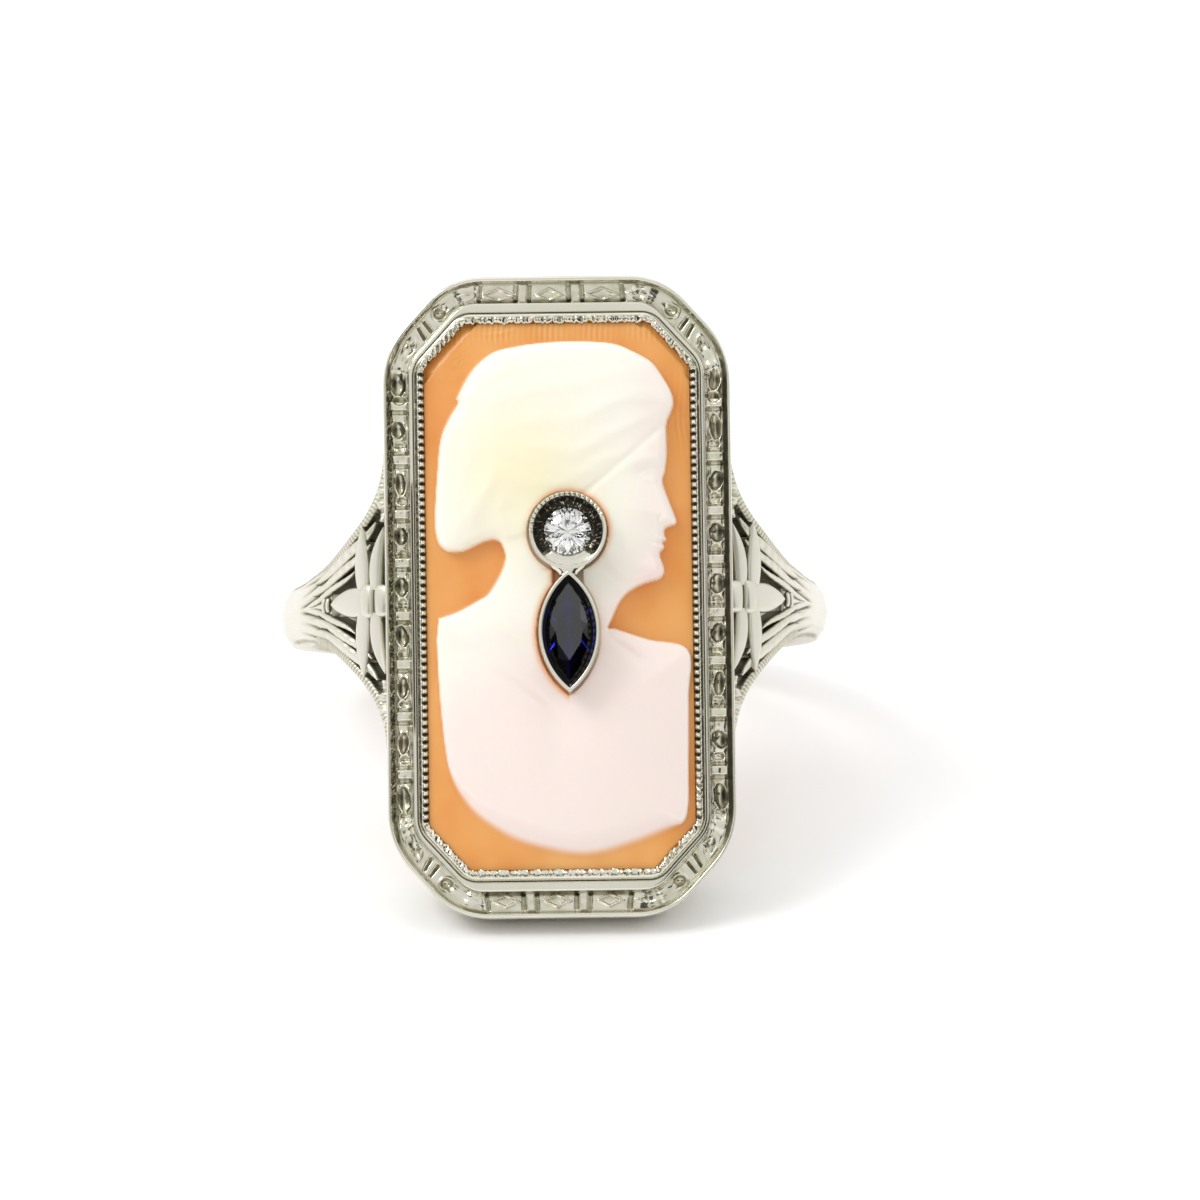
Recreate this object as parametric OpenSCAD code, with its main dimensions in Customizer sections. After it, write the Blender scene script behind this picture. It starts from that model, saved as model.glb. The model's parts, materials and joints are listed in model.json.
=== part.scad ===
// Cameo ring in white metal: a long cut-cornered frame with an engraved border holds a carved shell
// plaque, and a small drop with a round and a pointed stone is riveted through the shell.
// The ring is drawn with its face towards +Z and the finger along Y, then laid on its side at rest.

/* [Finger hole] */
// Diameter of the finger hole
bore_d = 17.3; // [15:0.1:21]

/* [Shank] */
// Width of the shank at the back, along the finger
shank_w = 2.0; // [1.6:0.1:3]
// Width of the shank at the sides, where the shoulders begin
shank_side_w = 2.0; // [1.8:0.1:3]
// Thickness of the shank along its middle
shank_t = 1.15; // [0.9:0.05:1.6]
// Thickness of the shank along its two edges
shank_edge_t = 0.75; // [0.5:0.05:0.85]

/* [Shoulders] */
// Spread of each shoulder to one side of the middle, where it meets the frame
shoulder_spread = 5.1; // [4.5:0.1:6.0]
// Width of the wire along the shoulder's outline
edge_wire_w = 0.45; // [0.4:0.05:0.6]
// Width of each long leaf blade
blade_w = 0.42; // [0.3:0.02:0.5]
// Depth of the blades and petals under the shoulder's surface
leaf_depth = 0.75; // [0.5:0.05:0.9]
// Height that ribs and petals stand above the shoulder's surface
leaf_crown = 0.14; // [0.05:0.01:0.25]
// Length of the long petals of the shoulder flower
petal_l = 2.0; // [1.6:0.05:2.2]
// Width of the long petals of the shoulder flower
petal_w = 0.62; // [0.4:0.02:0.8]
// Width of the flower's heart, along the finger
heart_w = 1.2; // [1:0.05:1.5]
// Width of the small tie below the flower
tie_w = 0.68; // [0.5:0.02:0.9]

/* [Frame] */
// Length of the frame along the finger
frame_l = 22.2; // [19:0.1:25]
// Width of the frame across the finger
frame_w = 12.0; // [10.5:0.1:13.5]
// Width of the border along the sides, from the outline to the visible shell
side_border = 1.43; // [1.3:0.01:1.7]
// Width of the border at the two ends
end_border = 1.68; // [1.55:0.01:2.2]
// Width of the border across the cut corners
corner_border = 1.17; // [1.05:0.01:1.4]
// Length of the window's cut corners along the finger
window_cut = 1.54; // [1.2:0.02:1.9]
// Height of the frame's rim above the finger hole
rim_rise = 2.4; // [2.2:0.05:3.2]
// Depth of the frame from its rim to its underside
frame_depth = 2.0; // [1.8:0.05:2.4]
// Height of the engraved channel's floor below the rim
channel_sink = 0.36; // [0.2:0.02:0.5]
// Width of the bright edge between the channel and the bezel strip, along the sides
edge_side_w = 0.17; // [0.1:0.01:0.25]
// Width of that edge at the two ends
edge_end_w = 0.3; // [0.15:0.01:0.4]
// Bays between the bars along each side
side_bays = 9; // [6:1:12]
// Bays between the bars at each end
end_bays = 3; // [2:1:5]
// Width of each bar
bar_w = 0.3; // [0.2:0.02:0.4]
// Length of the boss in each bay along the sides
side_boss_l = 0.85; // [0.5:0.05:1.2]
// Length of the boss in each bay at the ends
end_boss_l = 1.1; // [0.6:0.05:1.6]
// Width of the dots in the cut corners
dot_d = 0.35; // [0.2:0.01:0.4]
// Height of the bars and bosses above the channel's floor
relief_rise = 0.14; // [0.06:0.02:0.24]

/* [Gallery] */
// Depth of the gallery wall below the frame
gallery_depth = 2.35; // [1.8:0.05:2.8]
// Thickness of the gallery wall
gallery_t = 0.75; // [0.5:0.05:0.9]
// Inward lean of the gallery wall at the sides
gallery_lean = 0.6; // [0.3:0.05:1]
// Inward lean of the gallery wall at the ends
gallery_end_lean = 2.4; // [1.5:0.1:3]

/* [Bezel strip] */
// Thickness of the bezel strip
strip_t = 0.19; // [0.15:0.01:0.24]
// Reach of the lip over the edge of the shell
lip_reach = 0.16; // [0.12:0.01:0.22]
// Height of the lip above the rim
lip_rise = 0.35; // [0.2:0.05:0.6]
// Thickness of the lip over the shell
lip_t = 0.16; // [0.1:0.02:0.24]
// Gap between pieces that were fitted together
fit_gap = 0.03; // [0.02:0.01:0.05]

/* [Shell plaque] */
// Width of the ledge that carries the shell
ledge_w = 0.6; // [0.4:0.05:0.8]
// Height of the ledge above the frame's underside
ledge_t = 0.4; // [0.3:0.05:0.6]
// Rise of the shell's ground in the middle, above its edge
ground_dome = 0.3; // [0.1:0.05:0.5]
// Height of the carved figure above the ground
figure_h = 0.85; // [0.5:0.05:1.1]
// Height of the hair above the face
hair_rise = 0.16; // [0.05:0.01:0.25]

/* [Drop] */
// Outer diameter of the round collet
round_d = 2.7; // [2.5:0.02:2.9]
// Diameter of the round stone
brilliant_d = 1.74; // [1.4:0.02:1.9]
// Outer width of the pointed collet
marquise_w = 2.14; // [1.9:0.02:2.4]
// Outer length of the pointed collet
marquise_l = 4.25; // [3.9:0.05:4.6]
// Wall of the pointed collet
marquise_wall = 0.18; // [0.12:0.02:0.24]
// Height of the drop's metal above its seat in the shell
drop_h = 1.3; // [1.2:0.05:1.7]
// Place of the round collet across the face, from the middle
drop_x = 0.28; // [-0.6:0.02:0.6]
// Place of the round collet along the face, from the middle
drop_y = 2.12; // [1.6:0.02:2.6]
// Overlap of the pointed collet with the round one, along the drop
collet_overlap = 0.02; // [0.01:0.01:0.2]
// Width of the neck between the collets
neck_w = 0.98; // [0.8:0.02:1.2]
// Depth of the round stone's girdle below the top of its collet
brilliant_sink = 0.46; // [0.4:0.01:0.5]
// Depth of the pointed stone's girdle below the top of the drop
marquise_sink = 0.3; // [0.24:0.01:0.34]
// Height of each stone above its girdle
crown_h = 0.22; // [0.15:0.01:0.24]
// Depth of each stone below its girdle
pavilion_h = 0.52; // [0.4:0.01:0.56]
// Diameter of the rivet post through the shell
post_d = 0.7; // [0.5:0.05:0.9]
// Height of the rivet's head behind the shell
rivet_h = 0.3; // [0.2:0.05:0.4]
// Width of the rivet's head beyond its post, all round
rivet_rim = 0.25; // [0.15:0.05:0.4]
// Room round the drop in its recess in the shell
recess_room = 0.1; // [0.05:0.01:0.15]

/* [Hidden] */
$fn = 96;

white_gold = "silver";
shell_orange = "sandybrown";

// Radii and heights above the finger's axis
bore_r = bore_d / 2;
rim_z = bore_r + rim_rise;
base_z = rim_z - frame_depth;
floor_z = rim_z - channel_sink;
lip_z = rim_z + lip_rise;
ledge_z = base_z + ledge_t;

// The window in the frame, and how far each wall round it stands back from its edge
open_w = frame_w / 2 - side_border;
open_l = frame_l / 2 - end_border;
strip_inner = lip_reach + fit_gap;
strip_outer = strip_inner + strip_t;
frame_wall = strip_outer + fit_gap;
ledge_edge = lip_reach - ledge_w;
corner_slope = 1.1; // length to width of every cut corner
slope_norm = norm([corner_slope, 1]);
window_support = (corner_slope * open_w + open_l - window_cut) / slope_norm;
window_round = 0.1; // rounding of the window's corners
round_growth = 0.55; // how much of an outline's growth goes into its rounding

// Basic curves
function mix(a, b, k) = a + (b - a) * k;
function clamp01(k) = max(0, min(1, k));
function smooth(k) = let (c = clamp01(k)) c * c * (3 - 2 * c);
function bell(d) = exp(-d * d);

/* A closed skin over rings of equal length: capped at both ends, or closed round on itself. Its faces
   are turned outwards whichever way the rings run. */
module skin(rings, loop = false) {
    count = len(rings);
    ring = len(rings[0]);
    spans = loop ? count : count - 1;
    points = [for (r = rings) each r];
    walls = [for (i = [0 : spans - 1], j = [0 : ring - 1])
        let (a = i * ring, b = ((i + 1) % count) * ring, k = (j + 1) % ring)
        each [[a + j, b + j, a + k], [a + k, b + j, b + k]]];
    last = (count - 1) * ring;
    caps = loop ? [] : [for (j = [1 : ring - 2])
        each [[0, j, j + 1], [last, last + j + 1, last + j]]];
    faces = concat(walls, caps);
    volumes = [for (f = faces) cross(points[f[0]], points[f[1]]) * points[f[2]]];
    inside_out = volumes * [for (f = faces) 1] > 0;
    polyhedron(points, inside_out ? [for (f = faces) [f[2], f[1], f[0]]] : faces, convexity = 10);
}

// A cut-cornered outline at height z, with each of its eight corners rounded over the length r
function cut_rectangle(w, l, cut_w, cut_l, r, z) =
    let (corners = [[w, l - cut_l], [w - cut_w, l], [cut_w - w, l], [-w, l - cut_l],
            [-w, cut_l - l], [cut_w - w, -l], [w - cut_w, -l], [w, cut_l - l]])
    [for (i = [0 : 7])
        let (p = corners[i], a = corners[(i + 7) % 8], b = corners[(i + 1) % 8],
            pa = p + (a - p) / norm(a - p) * r, pb = p + (b - p) / norm(b - p) * r)
        for (q = [pa, (pa + pb) / 4 + p / 2, pb]) [q[0], q[1], z]];

// The window's outline, grown by its own amount at the sides, at the ends and across the corners
function outline(sides, ends, corners, z) =
    let (w = open_w + sides, l = open_l + ends,
        cut = corner_slope * w + l - (window_support + corners) * slope_norm)
    cut_rectangle(w, l, cut / corner_slope, cut, window_round + round_growth * max(0, sides), z);
function evenly(grow, z) = outline(grow, grow, grow, z);
function border(share, z) = outline(side_border * share, end_border * share, corner_border * share, z);

/* The shoulder's surface, unrolled: s runs round the finger from the side of the hole (0) to the
   frame (1), y along the finger, and lift stands away from the finger. */
bore_spare = 0.35; // metal left inside the hole before it is cut to size
meet_room = 0.1; // the shoulders end this far outside the frame's wall
meet_x = frame_w / 2 + meet_room;
meet_z = base_z + frame_depth * 0.3;
meet_angle = atan2(meet_z, meet_x);
meet_r = norm([meet_x, meet_z]);
shank_r = bore_r + shank_t;
unroll = mix(shank_r, meet_r, 0.5) * meet_angle * PI / 180; // length of s from 0 to 1
rise_from = 0.2;
rise_over = 0.85;
function outer_r(s) = mix(shank_r, meet_r, smooth((s - rise_from) / rise_over));
function round_finger(r, s, y) = [r * cos(s * meet_angle), y, r * sin(s * meet_angle)];
function on_shoulder(s, y, lift) = round_finger(outer_r(s) + lift, s, y);
wire_foot_rise = 1.5; // how far the wire's foot leaves the finger where it meets the gallery
function wire_foot(s, y) =
    round_finger(bore_r - bore_spare + wire_foot_rise * smooth((s - 0.8) / 0.2), s, y);

// The outline flares as a quarter of a superellipse; turn goes from 0 at the side to 90 at the frame
flare = 3.9;
function flare_s(turn) = pow(sin(turn), 2 / flare);
function flare_y(turn) = mix(shank_side_w / 2, shoulder_spread, 1 - cos(turn));
function flare_y_at(s) = mix(shank_side_w / 2, shoulder_spread, 1 - sqrt(1 - pow(clamp01(s), flare)));
function flare_inset(turn, inset) =
    let (before = max(0, turn - 0.5), after = min(90, turn + 0.5),
        way = [(flare_s(after) - flare_s(before)) * unroll, flare_y(after) - flare_y(before)],
        n = [way[1], -way[0]] / norm(way))
    [flare_s(turn) + n[0] * inset / unroll, flare_y(turn) + n[1] * inset];
function across(turn, half) = flare_inset(turn, half) - flare_inset(turn, 0);

// The solid part of the shank and shoulders, as sections with a low ridge and thinner edges
web_end = 0.762;
steps_back = 20;
steps_side = 9;
edge_drop = shank_t - shank_edge_t;
knee_share = 0.62;
knee_drop = 0.3 * edge_drop;
function shank_section(half, r, s) =
    [round_finger(bore_r - bore_spare, s, -half), round_finger(r - edge_drop, s, -half),
        round_finger(r - knee_drop, s, -knee_share * half), round_finger(r, s, 0),
        round_finger(r - knee_drop, s, knee_share * half), round_finger(r - edge_drop, s, half),
        round_finger(bore_r - bore_spare, s, half)];
function web_half(s) = flare_y_at(s) - edge_wire_w * 0.4 * smooth((s - 0.4) / 0.2);
module shank() {
    right = concat(
        [for (i = [steps_side : -1 : 0]) let (s = web_end * i / steps_side)
            shank_section(web_half(s), outer_r(s), s)],
        [for (i = [1 : steps_back]) let (k = i / steps_back)
            shank_section(mix(shank_side_w, shank_w, k) / 2, shank_r, -90 * k / meet_angle)]);
    left = [for (i = [len(right) - 2 : -1 : 0]) [for (p = right[i]) [-p[0], p[1], p[2]]]];
    skin(concat(right, left));
}

/* The wire along the outline rises out of the shank, reaches down to the finger, and its end runs out
   along the frame. */
wire_steps = 9;
wire_from = 22; // turn at which the wire begins
wire_flank = 0.15; // depth of its sides under the shoulder's surface
wire_bury = 0.1; // depth at which it starts inside the shank
wire_tail = 0.5; // length of each of its two last steps
tail_foot = [0.65, 0.4]; // depth of the tail at each of them
module edge_wire() {
    half = edge_wire_w / 2;
    run = [for (i = [0 : wire_steps])
        let (turn = mix(wire_from, 90, i / wire_steps), out = smooth(2.5 * i / wire_steps),
            c = flare_inset(turn, half + wire_bury * (1 - out)), w = across(turn, half),
            side = -mix(edge_drop + wire_bury, wire_flank, out),
            crest = mix(-edge_drop - wire_bury / 2, leaf_crown * 0.4, out))
        [on_shoulder(c[0] - w[0], c[1] - w[1], side), on_shoulder(c[0], c[1], crest),
            on_shoulder(c[0] + w[0], c[1] + w[1], side),
            wire_foot(c[0] + w[0], c[1] + w[1]), wire_foot(c[0] - w[0], c[1] - w[1])]];
    tail = [for (k = [1, 2])
        let (s = 1 + 0.02 * k, y = shoulder_spread + wire_tail * k, foot = -tail_foot[k - 1])
        [on_shoulder(s, y, -wire_flank), on_shoulder(s + 0.02, y, 0),
            on_shoulder(s + 0.04, y, -wire_flank), on_shoulder(s + 0.04, y, foot), on_shoulder(s, y, foot)]];
    skin(concat(run, tail));
}

// A rib on the shoulder, round a point c, with its half width as a vector in s and y
rib_flank = 0.04; // depth of a rib's sides under the shoulder's surface
function rib_section(c, side, crown, depth) =
    [on_shoulder(c[0] - side[0], c[1] - side[1], -rib_flank), on_shoulder(c[0], c[1], crown),
        on_shoulder(c[0] + side[0], c[1] + side[1], -rib_flank),
        on_shoulder(c[0] + side[0], c[1] + side[1], -depth),
        on_shoulder(c[0] - side[0], c[1] - side[1], -depth)];

// A long blade beside the edge wire, widest in its middle
blade_steps = 5;
blade_deeper = 0.1; // the blades reach this much deeper than the petals
module blade(from, to, inset) {
    skin([for (i = [0 : blade_steps])
        let (swell = sin(180 * i / blade_steps), turn = mix(from, to, i / blade_steps),
            half = across(turn, blade_w / 2 * mix(0.35, 1, swell)))
        rib_section(flare_inset(turn, inset), half, leaf_crown * mix(0.5, 1, swell),
            leaf_depth + blade_deeper)]);
}

// A petal from one point of the shoulder to another, pointed at its tip
petal_steps = 5;
module petal(from, to, width) {
    way = [(to[0] - from[0]) * unroll, to[1] - from[1]];
    n = [-way[1] / unroll, way[0]] / norm(way);
    skin([for (i = [0 : petal_steps])
        let (k = i / petal_steps, swell = pow(sin(180 * mix(0.12, 0.98, k)), 0.7))
        rib_section(mix(from, to, k), n * width / 2 * mix(0.2, 1, swell), leaf_crown * mix(1, 1.4, k),
            leaf_depth)]);
}

// A low cushion across the shoulder, for the heart of the flower and the tie below it
cushion_shallower = 0.12; // the cushions reach this much less deep than the petals
module cushion(s, length, width) {
    depth = leaf_depth - cushion_shallower;
    skin([for (k = [-1, -0.55, 0.55, 1])
        let (h = width / 2 * (1 - 0.12 * k * k), up = leaf_crown * (1.6 - k * k),
            a = s + length / unroll / 2 * k)
        [on_shoulder(a, -h, -rib_flank), on_shoulder(a, -h * 0.6, up), on_shoulder(a, h * 0.6, up),
            on_shoulder(a, h, -rib_flank), on_shoulder(a, h, -depth), on_shoulder(a, -h, -depth)]]);
}

heart_s = 0.945;
heart_l = 0.6;
tie_s = 0.735;
tie_l = 0.5;
module shoulder() {
    for (side = [0, 1]) mirror([0, side, 0]) {
        edge_wire();
        blade(26, 56, edge_wire_w + blade_w * 0.45);
        blade(23, 46, edge_wire_w + blade_w * 1.25);
        petal([heart_s - 0.018, heart_w / 3], [heart_s - 0.012, heart_w / 2 + petal_l], petal_w);
        petal([heart_s + 0.028, heart_w / 3], [heart_s + 0.07, heart_w / 2 + petal_l * 0.95], petal_w * 0.85);
    }
    petal([heart_s - 0.01, 0], [heart_s - 0.16, 0], petal_w * 1.65);
    cushion(tie_s, tie_l, tie_w);
    cushion(heart_s, heart_l, heart_w);
    cushion(heart_s + 0.05, heart_l, heart_w * 0.95);
}

/* The frame in one closed skin: rim, outer wall, underside, ledge for the shell, wall behind the
   bezel strip, bright edge and engraved channel. */
edge_rise = 0.04; // the bright edge's top stands above the rim
edge_z = rim_z + edge_rise;
edge_side = frame_wall + edge_side_w;
edge_end = frame_wall + edge_end_w;
channel_share = 0.78; // the channel's outer foot, as a share of the border's width
rim_share = 0.97; // the rim's outer edge
underside_share = 0.86; // the underside's outer edge
outer_wall = [ // share of the border's width, share of the frame's depth
    [0.9, 0], [rim_share, 0], [1, 0.05], [1.02, 0.27], [1, 0.55], [underside_share, 1],
];
module frame_body() {
    skin(concat(
        [for (row = outer_wall) border(row[0], rim_z - frame_depth * row[1])],
        [
            evenly(ledge_edge, base_z), evenly(ledge_edge, ledge_z),
            evenly(frame_wall, ledge_z), evenly(frame_wall, edge_z),
            outline(mix(frame_wall, edge_side, 0.6), mix(frame_wall, edge_end, 0.7),
                mix(frame_wall, edge_side, 0.5), rim_z),
            outline(edge_side, edge_end, edge_side, floor_z), border(channel_share, floor_z),
        ]), loop = true);
}

// The engraving in the channel: bars with a boss in each bay, and a dot, two bars and a dot at each corner
relief_root = 0.15; // depth of each relief's root below the channel's floor
bar_bury = 0.05; // length of a bar inside the wall at each of its ends
corner_relief = [0.08, 0.4, 0.6, 0.92]; // places of dot, bar, bar and dot along a cut corner
module bar(span) {
    linear_extrude(relief_rise + relief_root) square([span, bar_w], center = true);
}
module boss(length, width) {
    scale([width, length, 1]) cylinder(d1 = 1.1, d2 = 0.45, h = relief_rise + relief_root, $fn = 6);
}
module bays(half, count, span, boss_l) {
    for (i = [0 : count]) translate([0, mix(-half, half, i / count), 0]) bar(span);
    for (i = [0.5 : count]) translate([0, mix(-half, half, i / count), 0]) boss(boss_l, span * 0.65);
}
module border_relief() {
    z = floor_z - relief_root;
    side_mid = (edge_side + side_border * channel_share) / 2;
    end_mid = (edge_end + end_border * channel_share) / 2;
    corner_mid = (edge_side + corner_border * channel_share) / 2;
    side_span = side_border * channel_share - edge_side + 2 * bar_bury;
    end_span = end_border * channel_share - edge_end + 2 * bar_bury;
    mid_line = outline(side_mid, end_mid, corner_mid, z);
    side_half = mid_line[0][1];
    end_half = mid_line[5][0];
    for (turn = [0, 180]) rotate(turn) {
        translate([open_w + side_mid, 0, z]) bays(side_half, side_bays, side_span, side_boss_l);
        translate([0, open_l + end_mid, z]) rotate(90) bays(end_half, end_bays, end_span, end_boss_l);
        for (side = [0, 1]) mirror([side, 0, 0])
            for (i = [0 : 3])
                translate(mix(mid_line[2], mid_line[3], corner_relief[i])) rotate(atan(1 / corner_slope))
                    if (i == 0 || i == 3) boss(dot_d, dot_d);
                    else bar(side_span * 0.7);
    }
}

// The gallery wall leans in under the frame and ends at the finger hole
gallery_root = 0.15; // height of the wall inside the frame
corner_lean = gallery_lean * 1.4;
module gallery() {
    low = base_z - gallery_depth;
    function wall(inward, low_end, z) =
        let (side = side_border * underside_share - inward, end = end_border * underside_share - inward,
            corner = corner_border * underside_share - inward)
        low_end ? outline(side - gallery_lean, end - gallery_end_lean, corner - corner_lean, z)
            : outline(side, end, corner, z);
    top = base_z + gallery_root;
    skin([wall(0, false, top), wall(0, true, low), wall(gallery_t, true, low), wall(gallery_t, false, top)],
        loop = true);
}

module soldered_metal() {
    shank();
    for (side = [0, 1]) mirror([side, 0, 0]) shoulder();
    frame_body();
    border_relief();
    gallery();
}

// The ring lies on its side: it rests on the frame's lower end and on the back of the shank
rest_head = [open_l + end_border * underside_share, base_z];
rest_back = [shank_w / 2, bore_r + shank_edge_t];
rest_tilt = atan2(rest_head[0] - rest_back[0], rest_head[1] + rest_back[1]);
rest_lift = rest_back[0] * cos(rest_tilt) + rest_back[1] * sin(rest_tilt);
front_reach = (open_l + end_border * rim_share) * sin(rest_tilt) + rim_z * cos(rest_tilt);
back_reach = knee_share * rest_back[0] * sin(rest_tilt) + (shank_r - knee_drop) * cos(rest_tilt);
module at_rest() {
    translate([0, (front_reach - back_reach) / 2, rest_lift]) rotate([90 - rest_tilt, 0, 0]) children();
}

// resize with zeros changes no size: it makes the soldered parts one mesh, and the hole stays round
module ring_mount() {
    color(white_gold) at_rest() difference() {
        resize([0, 0, 0]) soldered_metal();
        rotate([90, 0, 0]) cylinder(r = bore_r, h = 2 * frame_l, center = true);
    }
}

// The bezel strip stands in the frame, and its lip is turned in over the edge of the shell
module cameo_bezel() {
    foot = ledge_z + fit_gap;
    color(white_gold) at_rest() skin([
        evenly(strip_outer, foot), evenly(strip_outer, rim_z),
        evenly(strip_inner, lip_z), evenly(lip_reach * 0.25, lip_z + lip_t * 0.1),
        evenly(0, lip_z - lip_t * 0.4), evenly(lip_reach * 0.06, lip_z - lip_t),
        evenly(strip_inner, lip_z - lip_t), evenly(strip_inner, foot),
    ], loop = true);
}

/* The carved figure is a bust in profile with dressed hair and a bare shoulder. Each row of the table
   gives a height on the plaque, the figure's left and right edge there, and how far the hair covers
   it from the left: heights are shares of the window's half length, edges of its half width, and the
   hair's cover is a share of the figure's own width. */
bust = [
    [-0.97, 0.12, 0.30, 0], [-0.955, -0.10, 0.45, 0], [-0.935, -0.22, 0.58, 0],
    [-0.905, -0.38, 0.71, 0], [-0.87, -0.51, 0.83, 0], [-0.82, -0.63, 0.92, 0],
    [-0.75, -0.75, 0.935, 0], [-0.66, -0.835, 0.94, 0], [-0.51, -0.89, 0.94, 0],
    [-0.31, -0.93, 0.94, 0], [-0.205, -0.94, 0.935, 0], [-0.185, -0.94, 0.83, 0],
    [-0.16, -0.94, 0.69, 0], [-0.135, -0.94, 0.50, 0], [-0.12, -0.94, 0.43, 0],
    [-0.085, -0.94, 0.40, 0], [-0.055, -0.84, 0.395, 0], [-0.01, -0.62, 0.41, 0],
    [0.03, -0.51, 0.50, 0], [0.07, -0.45, 0.74, 0], [0.12, -0.43, 0.74, 0.05],
    [0.145, -0.46, 0.74, 0.2], [0.16, -0.62, 0.74, 0.3], [0.172, -0.84, 0.74, 0.4],
    [0.195, -0.92, 0.74, 0.42], [0.24, -0.945, 0.74, 0.42], [0.29, -0.955, 0.74, 0.42],
    [0.38, -0.955, 0.74, 0.42], [0.47, -0.945, 0.74, 0.44], [0.53, -0.93, 0.74, 0.5],
    [0.584, -0.905, 0.74, 0.58], [0.64, -0.85, 0.74, 0.75], [0.66, -0.82, 0.84, 0.88],
    [0.69, -0.79, 0.87, 1], [0.73, -0.785, 0.865, 1], [0.78, -0.74, 0.84, 1],
    [0.84, -0.66, 0.76, 1], [0.885, -0.57, 0.64, 1], [0.92, -0.44, 0.50, 1],
    [0.94, -0.28, 0.36, 1], [0.95, -0.05, 0.2, 1],
];
/* The face fills the height from chin to hairline in equal thirds: nose base at a third, brow at two.
   Each row gives a share of that height and how far the profile stands forward there. */
chin_v = 0.05;
hairline_v = 0.655;
face = [
    [0, -0.09], [0.02, 0.03], [0.06, 0.052], [0.11, 0.055], [0.15, 0.03], [0.17, 0.026],
    [0.19, 0.05], [0.215, 0.055], [0.235, 0.035], [0.26, 0.065], [0.29, 0.055], [0.315, 0.06],
    [0.33, 0.12], [0.355, 0.15], [0.385, 0.145], [0.48, 0.105], [0.60, 0.052], [0.66, 0.065],
    [0.75, 0.08], [0.88, 0.08], [1, 0.07],
];
function column(table, key, col) = lookup(key, [for (row = table) [row[0], row[col]]]);
function face_reach(v) =
    let (k = (v - chin_v) / (hairline_v - chin_v)) k < 0 || k > 1 ? 0 : column(face, k, 1);
face_rows = [for (row = face) mix(chin_v, hairline_v, row[0])];
body_rows = [for (row = bust) if (row[0] < chin_v || row[0] > hairline_v) row[0]];
nape_rows = [for (row = bust) if (row[0] > 0.1 && row[0] < 0.2) row[0]];
bust_low = bust[0][0];
bust_high = bust[len(bust) - 1][0];

// Heights from lowest to highest
function sorted(list) = len(list) < 2 ? list :
    let (pivot = list[floor(len(list) / 2)])
    concat(sorted([for (v = list) if (v < pivot) v]), [pivot], sorted([for (v = list) if (v > pivot) v]));
figure_rows = sorted(concat(body_rows, face_rows, nape_rows));

// The plaque's ground is a shallow dome, and its edge goes under the lip
plaque_w = open_w + lip_reach;
plaque_l = open_l + lip_reach;
plaque_edge_z = lip_z - lip_t - fit_gap;
plaque_back_z = ledge_z + fit_gap;
ground_sink = 0.02; // the ground's edge lies this far below its gap to the lip
function ground_z(x, y) = plaque_edge_z - ground_sink
    + ground_dome * (1 - pow(x / plaque_w, 2)) * (1 - pow(y / plaque_l, 4));
corner_ease = 0.05; // the plaque's cut corners stand back a little further than its sides
function plaque_half(y) =
    let (cut_line = (window_support + lip_reach - corner_ease) * slope_norm)
    min(plaque_w, (cut_line - abs(y)) / corner_slope);

// Height of the carving at a share k of the figure's width: steep at its edge, rounded over its middle
function figure_z(k, v) =
    let (pillow = 0.42 + 0.58 * sqrt(1 - pow(abs(2 * k - 1), 2.6)),
        neck = 1 - 0.3 * bell((v - 0.02) / 0.12),
        ends = mix(0.6, 1, smooth((v - bust_low) / 0.3)) * mix(0.7, 1, smooth((bust_high - v) / 0.12)),
        hair = smooth((column(bust, v, 3) - k) / 0.2 + 0.5) * smooth((v - 0.1) / 0.05))
    figure_h * pillow * neck * ends + hair_rise * (hair - 1);
figure_step = 0.006; // the ground begins this share of the length beyond the figure's ends
across_shares = [0, 0.02, 0.08, 0.16, 0.26, 0.36, 0.46, 0.56, 0.66, 0.76, 0.86, 0.94, 0.98, 1];
function plaque_row(v, left, right, raised) =
    let (y = v * open_l, half = plaque_half(y), l = left * open_w, r = right * open_w,
        flat = [-half, mix(-half, l, 0.5)],
        ground = function (x) [x, y, ground_z(x, y)])
    concat([[-half, y, plaque_back_z]], [for (x = flat) ground(x)],
        [for (k = across_shares) let (x = mix(l, r, k), up = raised && k > 0 && k < 1 ? figure_z(k, v) : 0)
            ground(x) + [0, 0, up]],
        [for (k = [0.5, 1]) ground(mix(r, half, k))], [[half, y, plaque_back_z]]);
module plaque() {
    end = plaque_l / open_l;
    first = bust[0];
    last = bust[len(bust) - 1];
    skin(concat(
        [for (v = [-end, bust_low - figure_step]) plaque_row(v, first[1], first[2], false)],
        [for (v = figure_rows) plaque_row(v, column(bust, v, 1), column(bust, v, 2) + face_reach(v), true)],
        [for (v = [bust_high + figure_step, end]) plaque_row(v, last[1], last[2], false)]));
}

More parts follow.
